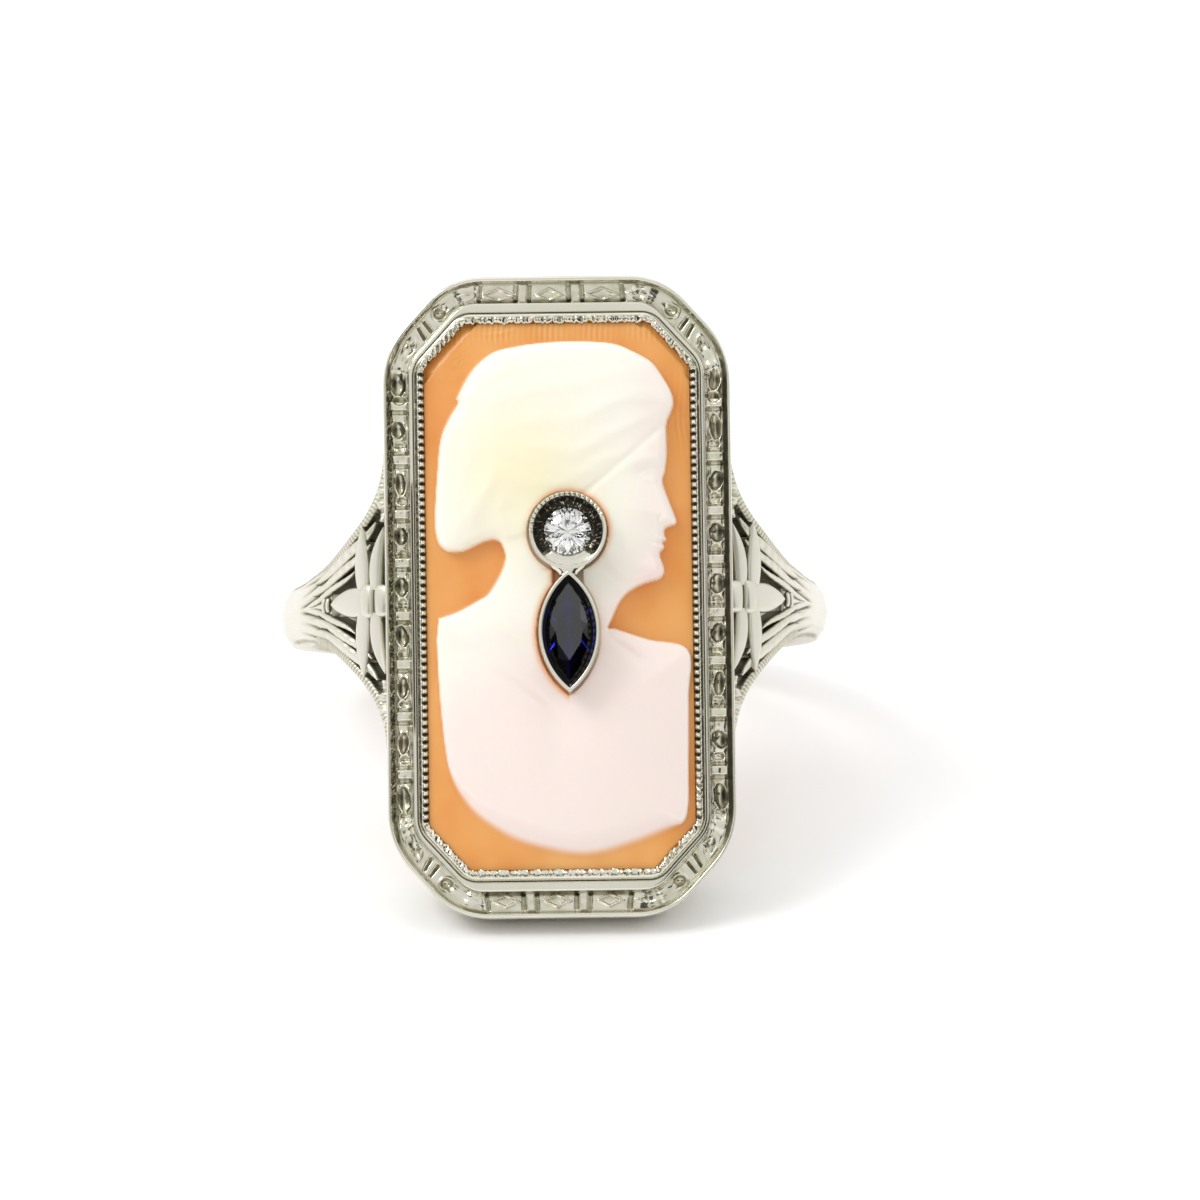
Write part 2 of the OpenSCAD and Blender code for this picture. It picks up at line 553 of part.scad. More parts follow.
/* The drop stands in a flat-bottomed recess in the figure. The pointed collet is the meeting of two
   round walls, so that every inset of it is a wall of even thickness. */
seat_share = 0.42; // height of the recess's floor in the figure
seat_z = ground_z(drop_x, drop_y) + figure_h * seat_share;
arc_r = (pow(marquise_w, 2) + pow(marquise_l, 2)) / (4 * marquise_w);
arc_x = arc_r - marquise_w / 2;
marquise_y = drop_y - round_d / 2 - marquise_l / 2 + collet_overlap;
module at_round(z) { translate([drop_x, drop_y, z]) children(); }
module at_marquise(z) { translate([drop_x, marquise_y, z]) children(); }
module lens(inset, h) {
    intersection_for (side = [1, -1]) translate([side * arc_x, 0, 0]) cylinder(r = arc_r - inset, h = h);
}
neck_reach = 0.42; // length of the neck on each side of the round collet's edge
module drop_shape(grow, z, h) {
    at_round(z) cylinder(d = round_d + 2 * grow, h = h);
    at_marquise(z) lens(-grow, h);
    at_round(z) translate([-neck_w / 2 - grow, -round_d / 2 - neck_reach - grow, 0])
        cube([neck_w + 2 * grow, neck_reach * 2 + grow, h]);
}

module cameo() {
    color(shell_orange) at_rest() difference() {
        plaque();
        drop_shape(recess_room, seat_z, figure_h * 3);
        at_round(plaque_back_z - 1) cylinder(d = post_d + 2 * fit_gap, h = seat_z - plaque_back_z + 2);
    }
}

// Heights in the drop, with the stones' girdles and what holds them
brilliant_z = seat_z + drop_h - brilliant_sink;
marquise_z = seat_z + drop_h - marquise_sink;
marquise_step = 0.12; // the pointed collet's top lies this far below the round one's
neck_step = 0.25; // and the neck's top this far
girdle_half = 0.03;
groove_half = 0.1; // half height of the groove that takes the pointed stone's girdle
cup_room = 0.08; // room below the pointed stone
collet_rim = 0.1; // width of the round collet's top edge
grip = 0.09; // cover of the metal over each stone's girdle
brilliant_r = brilliant_d / 2;
crown_slope = 0.8;
pavilion_slope = 0.72;

module drop_mount() {
    stand = seat_z + fit_gap;
    top = seat_z + drop_h;
    above = drop_h; // the cuts run out this far above the metal
    bed_r = brilliant_r + fit_gap;
    hold_r = brilliant_r - grip;
    hold_z = girdle_half + fit_gap + (bed_r - hold_r) * crown_slope;
    bed_depth = girdle_half + bed_r * pavilion_slope;
    color(white_gold) at_rest() difference() {
        union() {
            at_round(stand) cylinder(d = round_d, h = top - stand);
            at_marquise(stand) lens(0, top - stand - marquise_step);
            at_round(stand) translate([-neck_w / 2, -round_d / 2 - neck_reach, 0])
                cube([neck_w, neck_reach * 2, top - stand - neck_step]);
            at_round(plaque_back_z - rivet_h) cylinder(d = post_d, h = stand - plaque_back_z + 2 * rivet_h);
            at_round(plaque_back_z - rivet_h - fit_gap) cylinder(d = post_d + 2 * rivet_rim, h = rivet_h);
        }
        at_round(brilliant_z) rotate_extrude() polygon([[0, -bed_depth], [bed_r, -girdle_half],
            [bed_r, girdle_half], [hold_r, hold_z], [round_d / 2 - collet_rim, top - brilliant_z],
            [round_d / 2 - collet_rim, top - brilliant_z + above], [0, top - brilliant_z + above]]);
        at_marquise(marquise_z - pavilion_h - cup_room) lens(marquise_wall + grip, pavilion_h + above);
        at_marquise(marquise_z - groove_half) lens(marquise_wall - fit_gap, 2 * groove_half);
    }
}

// The brilliant: culet, pavilion, girdle, crown and table, with corners that alternate to form facets
module brilliant() {
    function ring(at_flats, at_corners, z) = [for (i = [0 : 15])
        let (r = brilliant_r * (i % 2 == 0 ? at_corners : at_flats), a = 22.5 * i)
        [r * cos(a), r * sin(a), z]];
    color("white") at_rest() at_round(brilliant_z) skin([
        ring(0.1, 0.1, -pavilion_h), ring(0.55, 0.6, -pavilion_h * 0.48), ring(1, 1, -girdle_half),
        ring(1, 1, girdle_half), ring(0.74, 0.84, crown_h * 0.6), ring(0.5, 0.55, crown_h),
    ]);
}

// The marquise stone: the same steps as insets of a pointed outline
module marquise_stone() {
    steps = 7;
    function ring(inset_share, z) =
        let (r = arc_r - marquise_wall - marquise_w * inset_share, half = acos(arc_x / r))
        [for (side = [1, -1], i = [0 : steps]) let (a = half * (2 * i / steps - 1))
            if (i < steps) [side * (r * cos(a) - arc_x), side * r * sin(a), z]];
    color("midnightblue") at_rest() at_marquise(marquise_z) skin([
        ring(0.34, -pavilion_h), ring(0.15, -pavilion_h * 0.5), ring(0, -girdle_half),
        ring(0, girdle_half), ring(0.09, crown_h * 0.64), ring(0.2, crown_h),
    ]);
}

ring_mount();
cameo_bezel();
cameo();
drop_mount();
brilliant();
marquise_stone();
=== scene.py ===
import json

import bpy
import numpy as np
from mathutils import Matrix


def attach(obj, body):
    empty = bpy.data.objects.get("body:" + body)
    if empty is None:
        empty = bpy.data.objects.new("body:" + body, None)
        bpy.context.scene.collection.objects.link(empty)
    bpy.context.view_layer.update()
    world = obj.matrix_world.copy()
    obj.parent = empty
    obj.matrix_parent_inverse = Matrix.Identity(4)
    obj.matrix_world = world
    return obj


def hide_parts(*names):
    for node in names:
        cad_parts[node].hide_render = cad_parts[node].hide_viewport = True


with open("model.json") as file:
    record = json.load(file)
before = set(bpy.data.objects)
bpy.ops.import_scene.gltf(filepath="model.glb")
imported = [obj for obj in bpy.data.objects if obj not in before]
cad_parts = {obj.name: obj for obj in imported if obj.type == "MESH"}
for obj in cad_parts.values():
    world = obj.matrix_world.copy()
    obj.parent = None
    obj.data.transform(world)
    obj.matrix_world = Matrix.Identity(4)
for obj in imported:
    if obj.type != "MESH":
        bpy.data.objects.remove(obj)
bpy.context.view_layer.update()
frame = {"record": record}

# The engraved frame
# A die-struck plate of 14 carat white gold with cut corners. A channel sunk between its rim and its
# bright inner edge is engraved by hand with bars and scooped cuts. Lengths are millimetres on the ring as
# it is worn: x across the face, y along the finger and z out from the finger's axis.
MM = 0.001
bore = frame["record"]["mounts"][0]
bore_r = bore["dims"]["r_mm"]
bore_centre = np.array(bore["pos_m"])
along_finger = np.array(bore["axis"])
across_face = np.array([1.0, 0.0, 0.0])
worn_axes = np.stack([across_face, along_finger, np.cross(across_face, along_finger)])

frame_w, frame_l = 12.0, 22.2
side_border, end_border = 1.43, 1.68
rim_z = bore_r + 2.4
base_z = rim_z - 2.0
floor_z = rim_z - 0.36
ledge_z = base_z + 0.4
open_w = frame_w / 2 - side_border
open_l = frame_l / 2 - end_border
window_cut = 1.54
corner_slope = 1.1
slope_norm = np.hypot(corner_slope, 1)
window_support = (corner_slope * open_w + open_l - window_cut) / slope_norm


def linear(hex_colour):
    """A colour such as #DAD8CE as linear red, green and blue, with an alpha of 1."""
    c = np.array([int(hex_colour[i:i + 2], 16) for i in (1, 3, 5)]) / 255
    return (*np.where(c <= 0.04045, c / 12.92, ((c + 0.055) / 1.055) ** 2.4).tolist(), 1.0)


def fill(tree, node, inputs):
    """Gives a node's inputs their values, or links from other nodes."""
    for socket, value in dict(inputs).items():
        if isinstance(value, bpy.types.NodeSocket):
            tree.links.new(value, node.inputs[socket])
        else:
            node.inputs[socket].default_value = value


def add_node(tree, kind, inputs=(), **settings):
    """A shader node with its settings and inputs."""
    node = tree.nodes.new("ShaderNode" + kind)
    for name, value in settings.items():
        setattr(node, name, value)
    fill(tree, node, inputs)
    return node


def mixed(tree, share, one, other, way="MIX"):
    """The colour that a share makes of two colours."""
    inputs = {"Fac": share, "Color1": one, "Color2": other}
    return add_node(tree, "MixRGB", inputs, blend_type=way).outputs["Color"]


def toned(tree, share, stops):
    """The colour that a ramp gives a share. Its stops are places with hex colours."""
    node = add_node(tree, "ValToRGB", {"Fac": share})
    ramp = node.color_ramp
    while len(ramp.elements) < len(stops):
        ramp.elements.new(0.5)
    for element, (place, colour) in zip(ramp.elements, stops):
        element.position = place
        element.color = linear(colour)
    return node.outputs["Color"]


def clouds(tree, place, size, detail):
    """Noise from 0 to 1 whose patches are about size millimetres wide."""
    inputs = {"Vector": place, "Scale": 1 / (size * MM), "Detail": detail}
    return add_node(tree, "TexNoise", inputs).outputs["Fac"]


def new_material(name):
    """A material, its node tree, its shader, and each point's place in the object's own coordinates."""
    material = bpy.data.materials.new(name)
    material.use_nodes = True
    tree = material.node_tree
    return material, tree, tree.nodes["Principled BSDF"], add_node(tree, "TexCoord").outputs["Object"]


def white_gold(name, shine, grain):
    """Polished white gold: a warm, slightly green grey, worn to fine scratches. A point attribute darkens and
    dulls it: some random tarnish, and painted shade and painted dark reflection in recesses and gaps and on
    the sides of cuts turned from the light."""
    material, tree, shader, place = new_material(name)
    tarnish_and_shade = add_node(tree, "Attribute", attribute_name="tarnish_and_shade").outputs["Fac"]
    fine = clouds(tree, place, grain, 3.0)
    # Painted shade: where the point attribute is high the base colour darkens to near black. A little of it
    # is tarnish.
    tone = toned(tree, tarnish_and_shade, [(0.0, "#DFDED7"), (0.3, "#CBC8B8"), (0.7, "#747064"), (1.0, "#262420")])
    tint = toned(tree, clouds(tree, place, 2.5, 2.0), [(0.35, "#F6F6EC"), (0.65, "#FFFCF7")])
    gloss = add_node(tree, "MapRange", {"Value": fine, "From Min": 0.3, "From Max": 0.7,
                                        "To Min": shine - 0.05, "To Max": shine + 0.09})
    dull = add_node(tree, "Math", {0: tarnish_and_shade, 1: 0.25, 2: gloss.outputs["Result"]}, operation="MULTIPLY_ADD")
    bump = add_node(tree, "Bump", {"Height": fine, "Strength": 0.12, "Distance": 0.01 * MM})
    fill(tree, shader, {"Base Color": mixed(tree, 1.0, tone, tint, "MULTIPLY"), "Metallic": 1.0,
                        "Roughness": dull.outputs["Value"], "Normal": bump.outputs["Normal"]})
    return material


def quads(rows, cols, ring_rows=False, ring_cols=False):
    """Faces between neighbouring rows and columns of a grid, and on to its first ones where it closes."""
    i, j = np.meshgrid(np.arange(rows if ring_rows else rows - 1),
                       np.arange(cols if ring_cols else cols - 1), indexing="ij")
    i, j = i.ravel(), j.ravel()
    down, on = (i + 1) % rows, (j + 1) % cols
    return np.stack([i * cols + j, down * cols + j, down * cols + on, i * cols + on], 1)


def skin(grid, tarnish_and_shade=0.0, ring_rows=False, ring_cols=True, capped=False):
    """A grid of points as a surface: points, faces, and each point's tarnish and painted shade. Its faces
    are turned round if the sum of their signed volumes is negative, so that a closed surface points outwards."""
    rows, cols = grid.shape[:2]
    points = grid.reshape(-1, 3)
    faces = quads(rows, cols, ring_rows, ring_cols)
    corners = points[faces[:, :3]]
    volume = np.einsum("ij,ij->i", np.cross(corners[:, 0], corners[:, 1]), corners[:, 2]).sum()
    corners = points[faces[:, [0, 2, 3]]]
    volume += np.einsum("ij,ij->i", np.cross(corners[:, 0], corners[:, 1]), corners[:, 2]).sum()
    faces = faces[:, ::-1] if volume < 0 else faces
    caps = [np.arange(cols), np.arange(len(points) - 1, len(points) - 1 - cols, -1)] if capped else []
    if volume < 0:
        caps = [cap[::-1] for cap in caps]
    shade = np.broadcast_to(np.asarray(tarnish_and_shade, float), (rows, cols)).ravel()
    return points, [*faces.tolist(), *[cap[::-1].tolist() for cap in caps]], shade


def add_piece(name, mesh, material, node):
    """Puts a mesh into the scene as a piece that rides on the root body and replaces a node."""
    mesh.materials.append(material)
    piece = bpy.data.objects.new(name, mesh)
    bpy.context.scene.collection.objects.link(piece)
    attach(piece, "root")
    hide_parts(node)


def make_piece(name, skins, material, node):
    """Joins surfaces into one mesh, laid from the worn axes into the frame of the ring at rest."""
    points, faces, shades, start = [], [], [], 0
    for skin_points, skin_faces, shade in skins:
        points.append(skin_points)
        faces += [[start + k for k in face] for face in skin_faces]
        shades.append(shade)
        start += len(skin_points)
    mesh = bpy.data.meshes.new(name)
    mesh.from_pydata(bore_centre + np.concatenate(points) * MM @ worn_axes, [], faces)
    # Each point's darkening, painted shade with some tarnish, goes into a point attribute for the metal.
    mesh.attributes.new("tarnish_and_shade", "FLOAT", "POINT").data.foreach_set(
        "value", np.concatenate(shades).astype(np.float32))
    mesh.shade_smooth()
    add_piece(name, mesh, material, node)


def mix(a, b, k):
    """From a at k = 0 to b at k = 1."""
    return a + (b - a) * k


def smooth(k):
    """An S curve from 0 to 1: three k squared minus two k cubed, with k held to 0..1."""
    k = np.clip(k, 0, 1)
    return k * k * (3 - 2 * k)


def bell(k):
    """A bell curve: e to the minus k squared."""
    return np.exp(-k * k)


def cut_outline(sides, ends, corners, round_reach, steps, arc_steps=9):
    """Cut-cornered loops, one for each row of the arguments. Eight lines, each moved out from the window
    by its own amount, meet in eight corners, and an arc that starts round_reach from a corner rounds it.
    Returns the points, and each sample's share of side, end and corner."""
    w, l = open_w + sides, open_l + ends
    cut = corner_slope * w + l - (window_support + corners) * slope_norm
    x, y = w - cut / corner_slope, l - cut
    corner = np.moveaxis(np.array([[w, y], [x, l], [-x, l], [-w, y], [-w, -y], [-x, -l], [x, -l], [w, -y]]),
                         2, 0)
    way_out = np.roll(corner, -1, axis=1) - corner
    way_out /= np.linalg.norm(way_out, axis=2, keepdims=True)
    way_in = np.roll(way_out, 1, axis=1)
    turn = np.arccos((way_in * way_out).sum(2))[..., None]
    reach = round_reach[:, None, None]
    radius = reach / np.tan(turn / 2)
    inward = np.stack([-way_in[..., 1], way_in[..., 0]], 2)
    k = np.linspace(0, 1, arc_steps)[None, None, :, None]
    arcs = ((corner - way_in * reach)[:, :, None]
            + radius[:, :, None] * (np.sin(k * turn[:, :, None]) * way_in[:, :, None]
                                    + (1 - np.cos(k * turn[:, :, None])) * inward[:, :, None]))
    kinds = [2, 1, 2, 0, 2, 1, 2, 0]
    points, weights = [], []
    for i, kind in enumerate(kinds):
        count = steps[kind]
        a, b = arcs[:, i, -1], arcs[:, (i + 1) % 8, 0]
        k = np.linspace(0, 1, count + 1)[1:-1]
        points += [arcs[:, i], mix(a[:, None], b[:, None], k[:, None])]
        turned = np.linspace(0, 1, arc_steps)[:, None]
        weights += [mix(np.eye(3)[kinds[i - 1]], np.eye(3)[kind], turned),
                    np.tile(np.eye(3)[kind], (count - 1, 1))]
    return np.concatenate(points, 1), np.concatenate(weights)


def rounding(sides):
    """Length of an outline's rounding at each corner, which grows with the outline."""
    return 0.1 + 0.75 * np.maximum(0, sides)


def softened(keys, reaches, straight_rows):
    """A closed section with rounded corners: the parabola from a key's reach before it to its reach after
    it, or the key alone where the reach is 0, then the given number of rows on to the next key."""
    ahead = np.roll(keys, -1, axis=0) - keys
    length = np.hypot(ahead[:, 0], ahead[:, 3])[:, None]
    reach = np.array(reaches, float)[:, None]
    leave = keys + ahead * np.minimum(reach / length, 0.4)
    arrive = keys - np.roll(ahead, 1, axis=0) * np.minimum(reach / np.roll(length, 1, axis=0), 0.4)
    t = np.array([0, 0.5, 1])[:, None]
    rows = []
    for i, count in enumerate(straight_rows):
        arc = (1 - t) ** 2 * arrive[i] + 2 * t * (1 - t) * keys[i] + t ** 2 * leave[i]
        rows.append(arc if reach[i] > 0 else keys[i:i + 1])
        k = np.linspace(0, 1, count + 2)[1:-1, None]
        rows.append(mix(leave[i], arrive[(i + 1) % len(keys)], k))
    return np.concatenate(rows)


channel_in, channel_out = (0.57, 0.78, 0.58), (1.13, 1.45, 1.28)
frame_section = np.array([
    [*channel_out, floor_z], [1.34, 1.52, 1.38, rim_z], [1.40, 1.62, 1.47, rim_z],
    [1.43, 1.675, 1.5, rim_z - 0.09], [1.45, 1.70, 1.52, rim_z - 0.54], [1.43, 1.67, 1.5, rim_z - 1.1],
    [1.23, 1.445, 1.29, base_z], [-0.44, -0.44, -0.44, base_z], [-0.44, -0.44, -0.44, ledge_z],
    [0.41, 0.41, 0.41, ledge_z], [0.41, 0.41, 0.41, rim_z + 0.04], [0.54, 0.74, 0.54, rim_z + 0.02],
    [*channel_in, floor_z],
])
wall_rows, floor_rows, flange_rows = 6, 18, 3
rows = softened(frame_section, [0.02, 0.03, 0.03, 0.04, 0.2, 0.2, 0.03, 0, 0, 0, 0.03, 0.03, 0.02],
                [wall_rows, 0, 0, 0, 0, 0, 0, 0, 0, 0, flange_rows, 3, floor_rows])
frame_steps = (380, 170, 80)
outline, kind_share = cut_outline(rows[:, 0], rows[:, 1], rows[:, 2], rounding(rows[:, 0]), frame_steps)
offset = rows[:, :3] @ kind_share.T
channel_mid = (np.array(channel_in) + np.array(channel_out)) / 2
channel_half = (np.array(channel_out) - np.array(channel_in)) / 2
mid_line = cut_outline(*channel_mid[:, None], rounding(channel_mid[:1]), frame_steps)[0][0]
mid_run = np.append(0, np.cumsum(np.linalg.norm(np.diff(mid_line, axis=0), axis=1)))
mid_total = mid_run[-1] + np.linalg.norm(mid_line[0] - mid_line[-1])


def from_places(places):
    """Signed distance along the channel from each place, a point near its middle line, to each sample."""
    nearest = np.argmin(np.linalg.norm(np.array(places)[:, None] - mid_line, axis=2), axis=1)
    return (mid_run - mid_run[nearest][:, None] + mid_total / 2) % mid_total - mid_total / 2


# Heights of the bars that cross the side channels, and places of those that cross the end channels
side_bars = np.array([6.67, 4.78, 2.93, 1.22, -0.59, -2.27, -4.08, -6.07])
end_bars = np.array([-2.81, -1.13, 0.68, 2.55])
side_x, end_y = open_w + channel_mid[0], open_l + channel_mid[1]
mitres = [(side_x * a, 7.95 * b) for a in (1, -1) for b in (1, -1)] + [
    (3.3 * a, end_y * b) for a in (1, -1) for b in (1, -1)]
side_bays = (np.append(8.0, side_bars) + np.append(side_bars, -8.0)) / 2
end_bays = (np.append(-3.5, end_bars) + np.append(end_bars, 3.4)) / 2
cut_middles = [(4.66 * a, 9.41 * b) for a in (1, -1) for b in (1, -1)]

across = offset - kind_share @ channel_mid
bars = from_places([(side_x * a, y) for a in (1, -1) for y in side_bars]
                   + [(x, end_y * b) for b in (1, -1) for x in end_bars])
scoops = from_places([(side_x * a, y + 0.1) for a in (1, -1) for y in side_bays])
nicks = from_places([(side_x * a, y - 0.5) for a in (1, -1) for y in side_bays])
lozenges = from_places([(x, end_y * b) for b in (1, -1) for x in end_bays])
ridges, cuts = from_places(mitres), from_places(cut_middles)
hand = np.random.default_rng(12)
scoop_long = hand.uniform(0.3, 0.46, (len(scoops), 1))
scoop_wide = hand.uniform(0.17, 0.24, (len(scoops), 1))
scoop_lean = hand.uniform(-0.5, 0.5, (len(scoops), 1))
nick_long = hand.uniform(0.1, 0.2, (len(nicks), 1))
lozenge_long = hand.uniform(0.4, 0.56, (len(lozenges), 1))


def plateau(d, half, soft):
    """1 within half of the middle, falling to 0 over soft."""
    return smooth((half - np.abs(d)) / soft + 0.5)


def blotches(shape, coarse, seed):
    """Soft random patches from 0 to 1: random numbers on a coarse grid, carried straight between them."""
    numbers = np.random.default_rng(seed).random(coarse)
    hats = [np.clip(1 - np.abs(np.linspace(0, m - 1, n)[:, None] - np.arange(m)), 0, 1)
            for n, m in zip(shape, coarse)]
    return hats[0] @ numbers @ hats[1].T


def engraved(c):
    """Height of the engraving at a distance c from the middle line, and its painted shade, for every sample
    along it: bars and mitre ridges stand up, and scoops, lozenges, dots and lines are cut. The shade lies
    in the cuts, on their sides turned from the light, under the lozenges and along the channel's edges."""
    side, end, corner = kind_share.T
    width = kind_share @ channel_half
    bar = plateau(bars, 0.16, 0.07).max(0)
    beside = bell((np.abs(bars) - 0.25) / 0.035).max(0)
    mitre = plateau(ridges, 0.13, 0.14).max(0)
    reach = ((scoops + scoop_lean * c) / scoop_long) ** 2 + ((c - 0.02) / scoop_wide) ** 2
    scoop = np.clip(1 - reach, 0, 1).max(0) ** 0.55 * side
    burr = bell((np.sqrt(reach) - 1.08) / 0.1).max(0) * side
    nick = np.clip(1 - (nicks / nick_long) ** 2 - ((c + 0.03) / 0.2) ** 2, 0, 1).max(0) ** 0.6 * side
    threads = (bell((c + 0.19 + 0.02 * np.sin(5 * mid_run)) / 0.025)
               + bell((c - 0.22 + 0.015 * np.sin(7 * mid_run)) / 0.025)) * side * (1 - bar)
    eye = np.abs(lozenges) / lozenge_long + np.abs(c + 0.05) / 0.21
    lozenge = smooth((1 - eye) / 0.3).max(0) * end
    eye_rim = bell((eye - 1.0) / 0.13).max(0) * end
    under = bell((c + 0.27) / 0.05) * end * (1 - bar)
    dot = np.clip(1 - ((np.abs(cuts) - 0.78) / 0.21) ** 2 - (c / 0.2) ** 2, 0, 1).max(0) ** 0.6 * corner
    dot_rim = bell((np.hypot(np.abs(cuts) - 0.78, c) - 0.24) / 0.04).max(0) * corner
    twin = bell((np.abs(cuts) - 0.16) / 0.05).max(0) * plateau(c, 0.24, 0.06) * corner
    edge = bell((np.abs(c) - width + 0.03) / 0.03)
    up = 0.13 * bar + 0.16 * mitre + 0.035 * burr + 0.06 * eye_rim + 0.04 * dot_rim - 0.02 * lozenge
    down = (0.06 * beside + 0.17 * scoop + 0.1 * nick + 0.045 * threads + 0.05 * under + 0.14 * dot
            + 0.1 * twin)
    # Painted shade: the side of each scoop, nick and dot turned from the light is darkest. The cuts, the
    # lines beside the bars, the grooves under the lozenges and the channel's edges are darkened, and the
    # mitre ridges are left light.
    shaded_side = smooth((c + 0.02) / 0.12)
    painted_shade = (0.85 * scoop * shaded_side + 0.25 * scoop + 0.5 * nick * smooth((c + 0.06) / 0.1) + 0.35 * beside
            + 0.35 * threads + 0.6 * under + 0.45 * dot * smooth((c + 0.1) / 0.15) + 0.7 * twin
            + 0.3 * lozenge * smooth(-(c + 0.02) / 0.1) + 0.4 * edge)
    return 1.3 * (up - down), painted_shade * (1 - 0.9 * mitre)


def speckle(shape, seed):
    """Random heights from 0 to 1, for punched and matted ground."""
    return np.random.default_rng(seed).random(shape)


floor_first = len(rows) - floor_rows
wall_first = 3
relief, tarnish_and_shade = np.zeros(offset.shape), np.zeros(offset.shape)
for row in range(floor_first - 1, len(rows)):
    relief[row], tarnish_and_shade[row] = engraved(across[row])
ground_rows = slice(floor_first - 1, len(rows))
uneven = blotches(relief[ground_rows].shape, (6, 330), 2)
relief[ground_rows] += (0.012 + 0.03 * kind_share[:, 0]) * (uneven - 0.5)
# Random blotches of tarnish are laid over the painted shade of the channel's ground.
grime = blotches(uneven.shape, (5, 240), 5) - 0.35
tarnish_and_shade[ground_rows] = 0.75 * tarnish_and_shade[ground_rows] + 0.05 + 0.3 * grime
wall = slice(wall_first, wall_first + wall_rows)
side_wall = kind_share[:, 0] * (outline[wall, :, 0] < 0)
relief[wall] -= 0.06 * speckle(relief[wall].shape, 3) * side_wall
# Painted shade and painted dark reflection on the channel's outer walls, heaviest along the sides. On the
# left side, random specks are left light.
tarnish_and_shade[wall] = 0.15 + 0.7 * kind_share[:, 0]
tarnish_and_shade[wall] -= 0.75 * side_wall * (speckle(relief[wall].shape, 4) > 0.72)
# Painted shade in the corner where the channel's floor meets its outer wall.
tarnish_and_shade[:wall_first] = 0.4
in_flange = (rows[:, 3] > rim_z) & (np.abs(rows[:, 0] - 0.475) < 0.02)
left_run = kind_share[:, 0] * (outline[0, :, 0] < 0) * smooth((4.6 - np.abs(outline[0, :, 1] + 0.4)) / 0.8)
relief[in_flange] -= 0.05 * left_run
tarnish_and_shade[in_flange] = 0.85 * left_run
in_seam = (np.abs(rows[:, 0] - 0.41) < 0.01) & (rows[:, 3] < rim_z)
tarnish_and_shade[in_seam] = 0.5

# The channel is wider, and its outer wall steeper, on the right side and above on the left side
widening = np.clip((offset - kind_share @ np.array(channel_in)) / 0.55, 0, 1)
widening = widening * (rows[:, 3, None] < rim_z - 0.2)
row_at = np.arange(len(rows))[:, None]
widening = widening * (row_at >= floor_first - 1) + (row_at < wall_first)
bend = 0.07 * (outline[..., 0] > 0) + 0.11 * smooth((outline[..., 1] - 4.2) / 1.5) * (outline[..., 0] < 0)
outline[..., 0] += np.sign(outline[..., 0]) * np.clip(widening, 0, 1) * bend * kind_share[:, 0]
grid = np.dstack([outline, rows[:, 3, None] + relief])
frame_metal = white_gold("white_gold_struck", 0.16, 0.05)
make_piece("engraved_frame", [skin(grid, np.clip(tarnish_and_shade, 0, 1), ring_rows=True)], frame_metal,
           "ring_mount")

# The gallery
# A plain strip of the same white gold, bent to the frame's outline, soldered under it and filed at its
# foot to the round of the finger. It leans in, most of all at its two ends.
gallery_root, gallery_depth, gallery_t = 0.15, 2.35, 0.75
gallery_lean = np.array([0.6, 2.4, 0.84])
wall_outer = np.array([1.23, 1.445, 1.29])


def gallery_wall(inward, samples):
    """Rows from the frame down to the finger: each point goes straight from the wall's top line to its
    leaning foot, and stops where that line meets the finger hole's circle."""
    top = wall_outer - inward
    foot = top - gallery_lean
    ends = np.stack([top, foot])
    lines, share = cut_outline(ends[:, 0], ends[:, 1], ends[:, 2], rounding(np.array([1.2, 1.2])),
                               (120, 60, 20))
    high, low = base_z + gallery_root, base_z - gallery_depth
    reach = np.ones(lines.shape[1])
    for _ in range(6):
        x = mix(lines[0, :, 0], lines[1, :, 0], reach)
        reach = np.minimum(1, (high - np.sqrt(np.maximum(bore_r ** 2 - x ** 2, 0))) / (high - low))
    k = np.linspace(0, 1, samples)[:, None] * reach
    return np.dstack([mix(lines[0], lines[1], k[..., None]), mix(high, low, k)])


outside, inside = gallery_wall(0, 12), gallery_wall(gallery_t, 12)
make_piece("gallery", [skin(np.concatenate([outside, inside[::-1]]), 0.15, ring_rows=True)],
           frame_metal, "ring_mount")

# The shank and the webs of the shoulders
# One white gold band, thin at its edges and low-ridged along its middle. Towards the frame it widens to a
# fan, where long leaves are cut with a graver, and its edges are milled.
shank_t, edge_drop = 1.15, 0.4
shank_r = bore_r + shank_t
shank_w, shank_side_w = 2.0, 2.0
meet_x, meet_z = frame_w / 2 + 0.1, base_z + 0.6
meet_angle = np.arctan2(meet_z, meet_x)
meet_r = np.hypot(meet_x, meet_z)
unroll = (shank_r + meet_r) / 2 * meet_angle
shoulder_spread, flare = 5.1, 3.9
leaf_crown, leaf_depth = 0.14, 0.75
web_end = 0.765


def shoulder_r(s):
    """Radius of the shoulder's surface: the shank's at s = 0, rising in an S curve to the frame's foot."""
    return mix(shank_r, meet_r, smooth((s - 0.2) / 0.85))


def round_finger(r, s, y):
    """A point at radius r, with s running from 0 at the side of the finger to 1 at the frame."""
    return np.stack(np.broadcast_arrays(r * np.cos(s * meet_angle), y, r * np.sin(s * meet_angle)), -1)


def on_shoulder(s, y, lift):
    """A point on the shoulder's surface, lifted away from the finger."""
    return round_finger(shoulder_r(s) + lift, s, y)


def flare_s(turn):
    """The outline is a quarter of a superellipse: sine of the turn to the power of 2 over flare."""
    return np.sin(np.radians(turn)) ** (2 / flare)


def flare_y(turn):
    """And its width grows with 1 minus the turn's cosine."""
    return mix(shank_side_w / 2, shoulder_spread, 1 - np.cos(np.radians(turn)))


def flare_y_at(s):
    """Half width of the outline at s."""
    return mix(shank_side_w / 2, shoulder_spread, 1 - np.sqrt(1 - np.clip(s, 0, 1) ** flare))


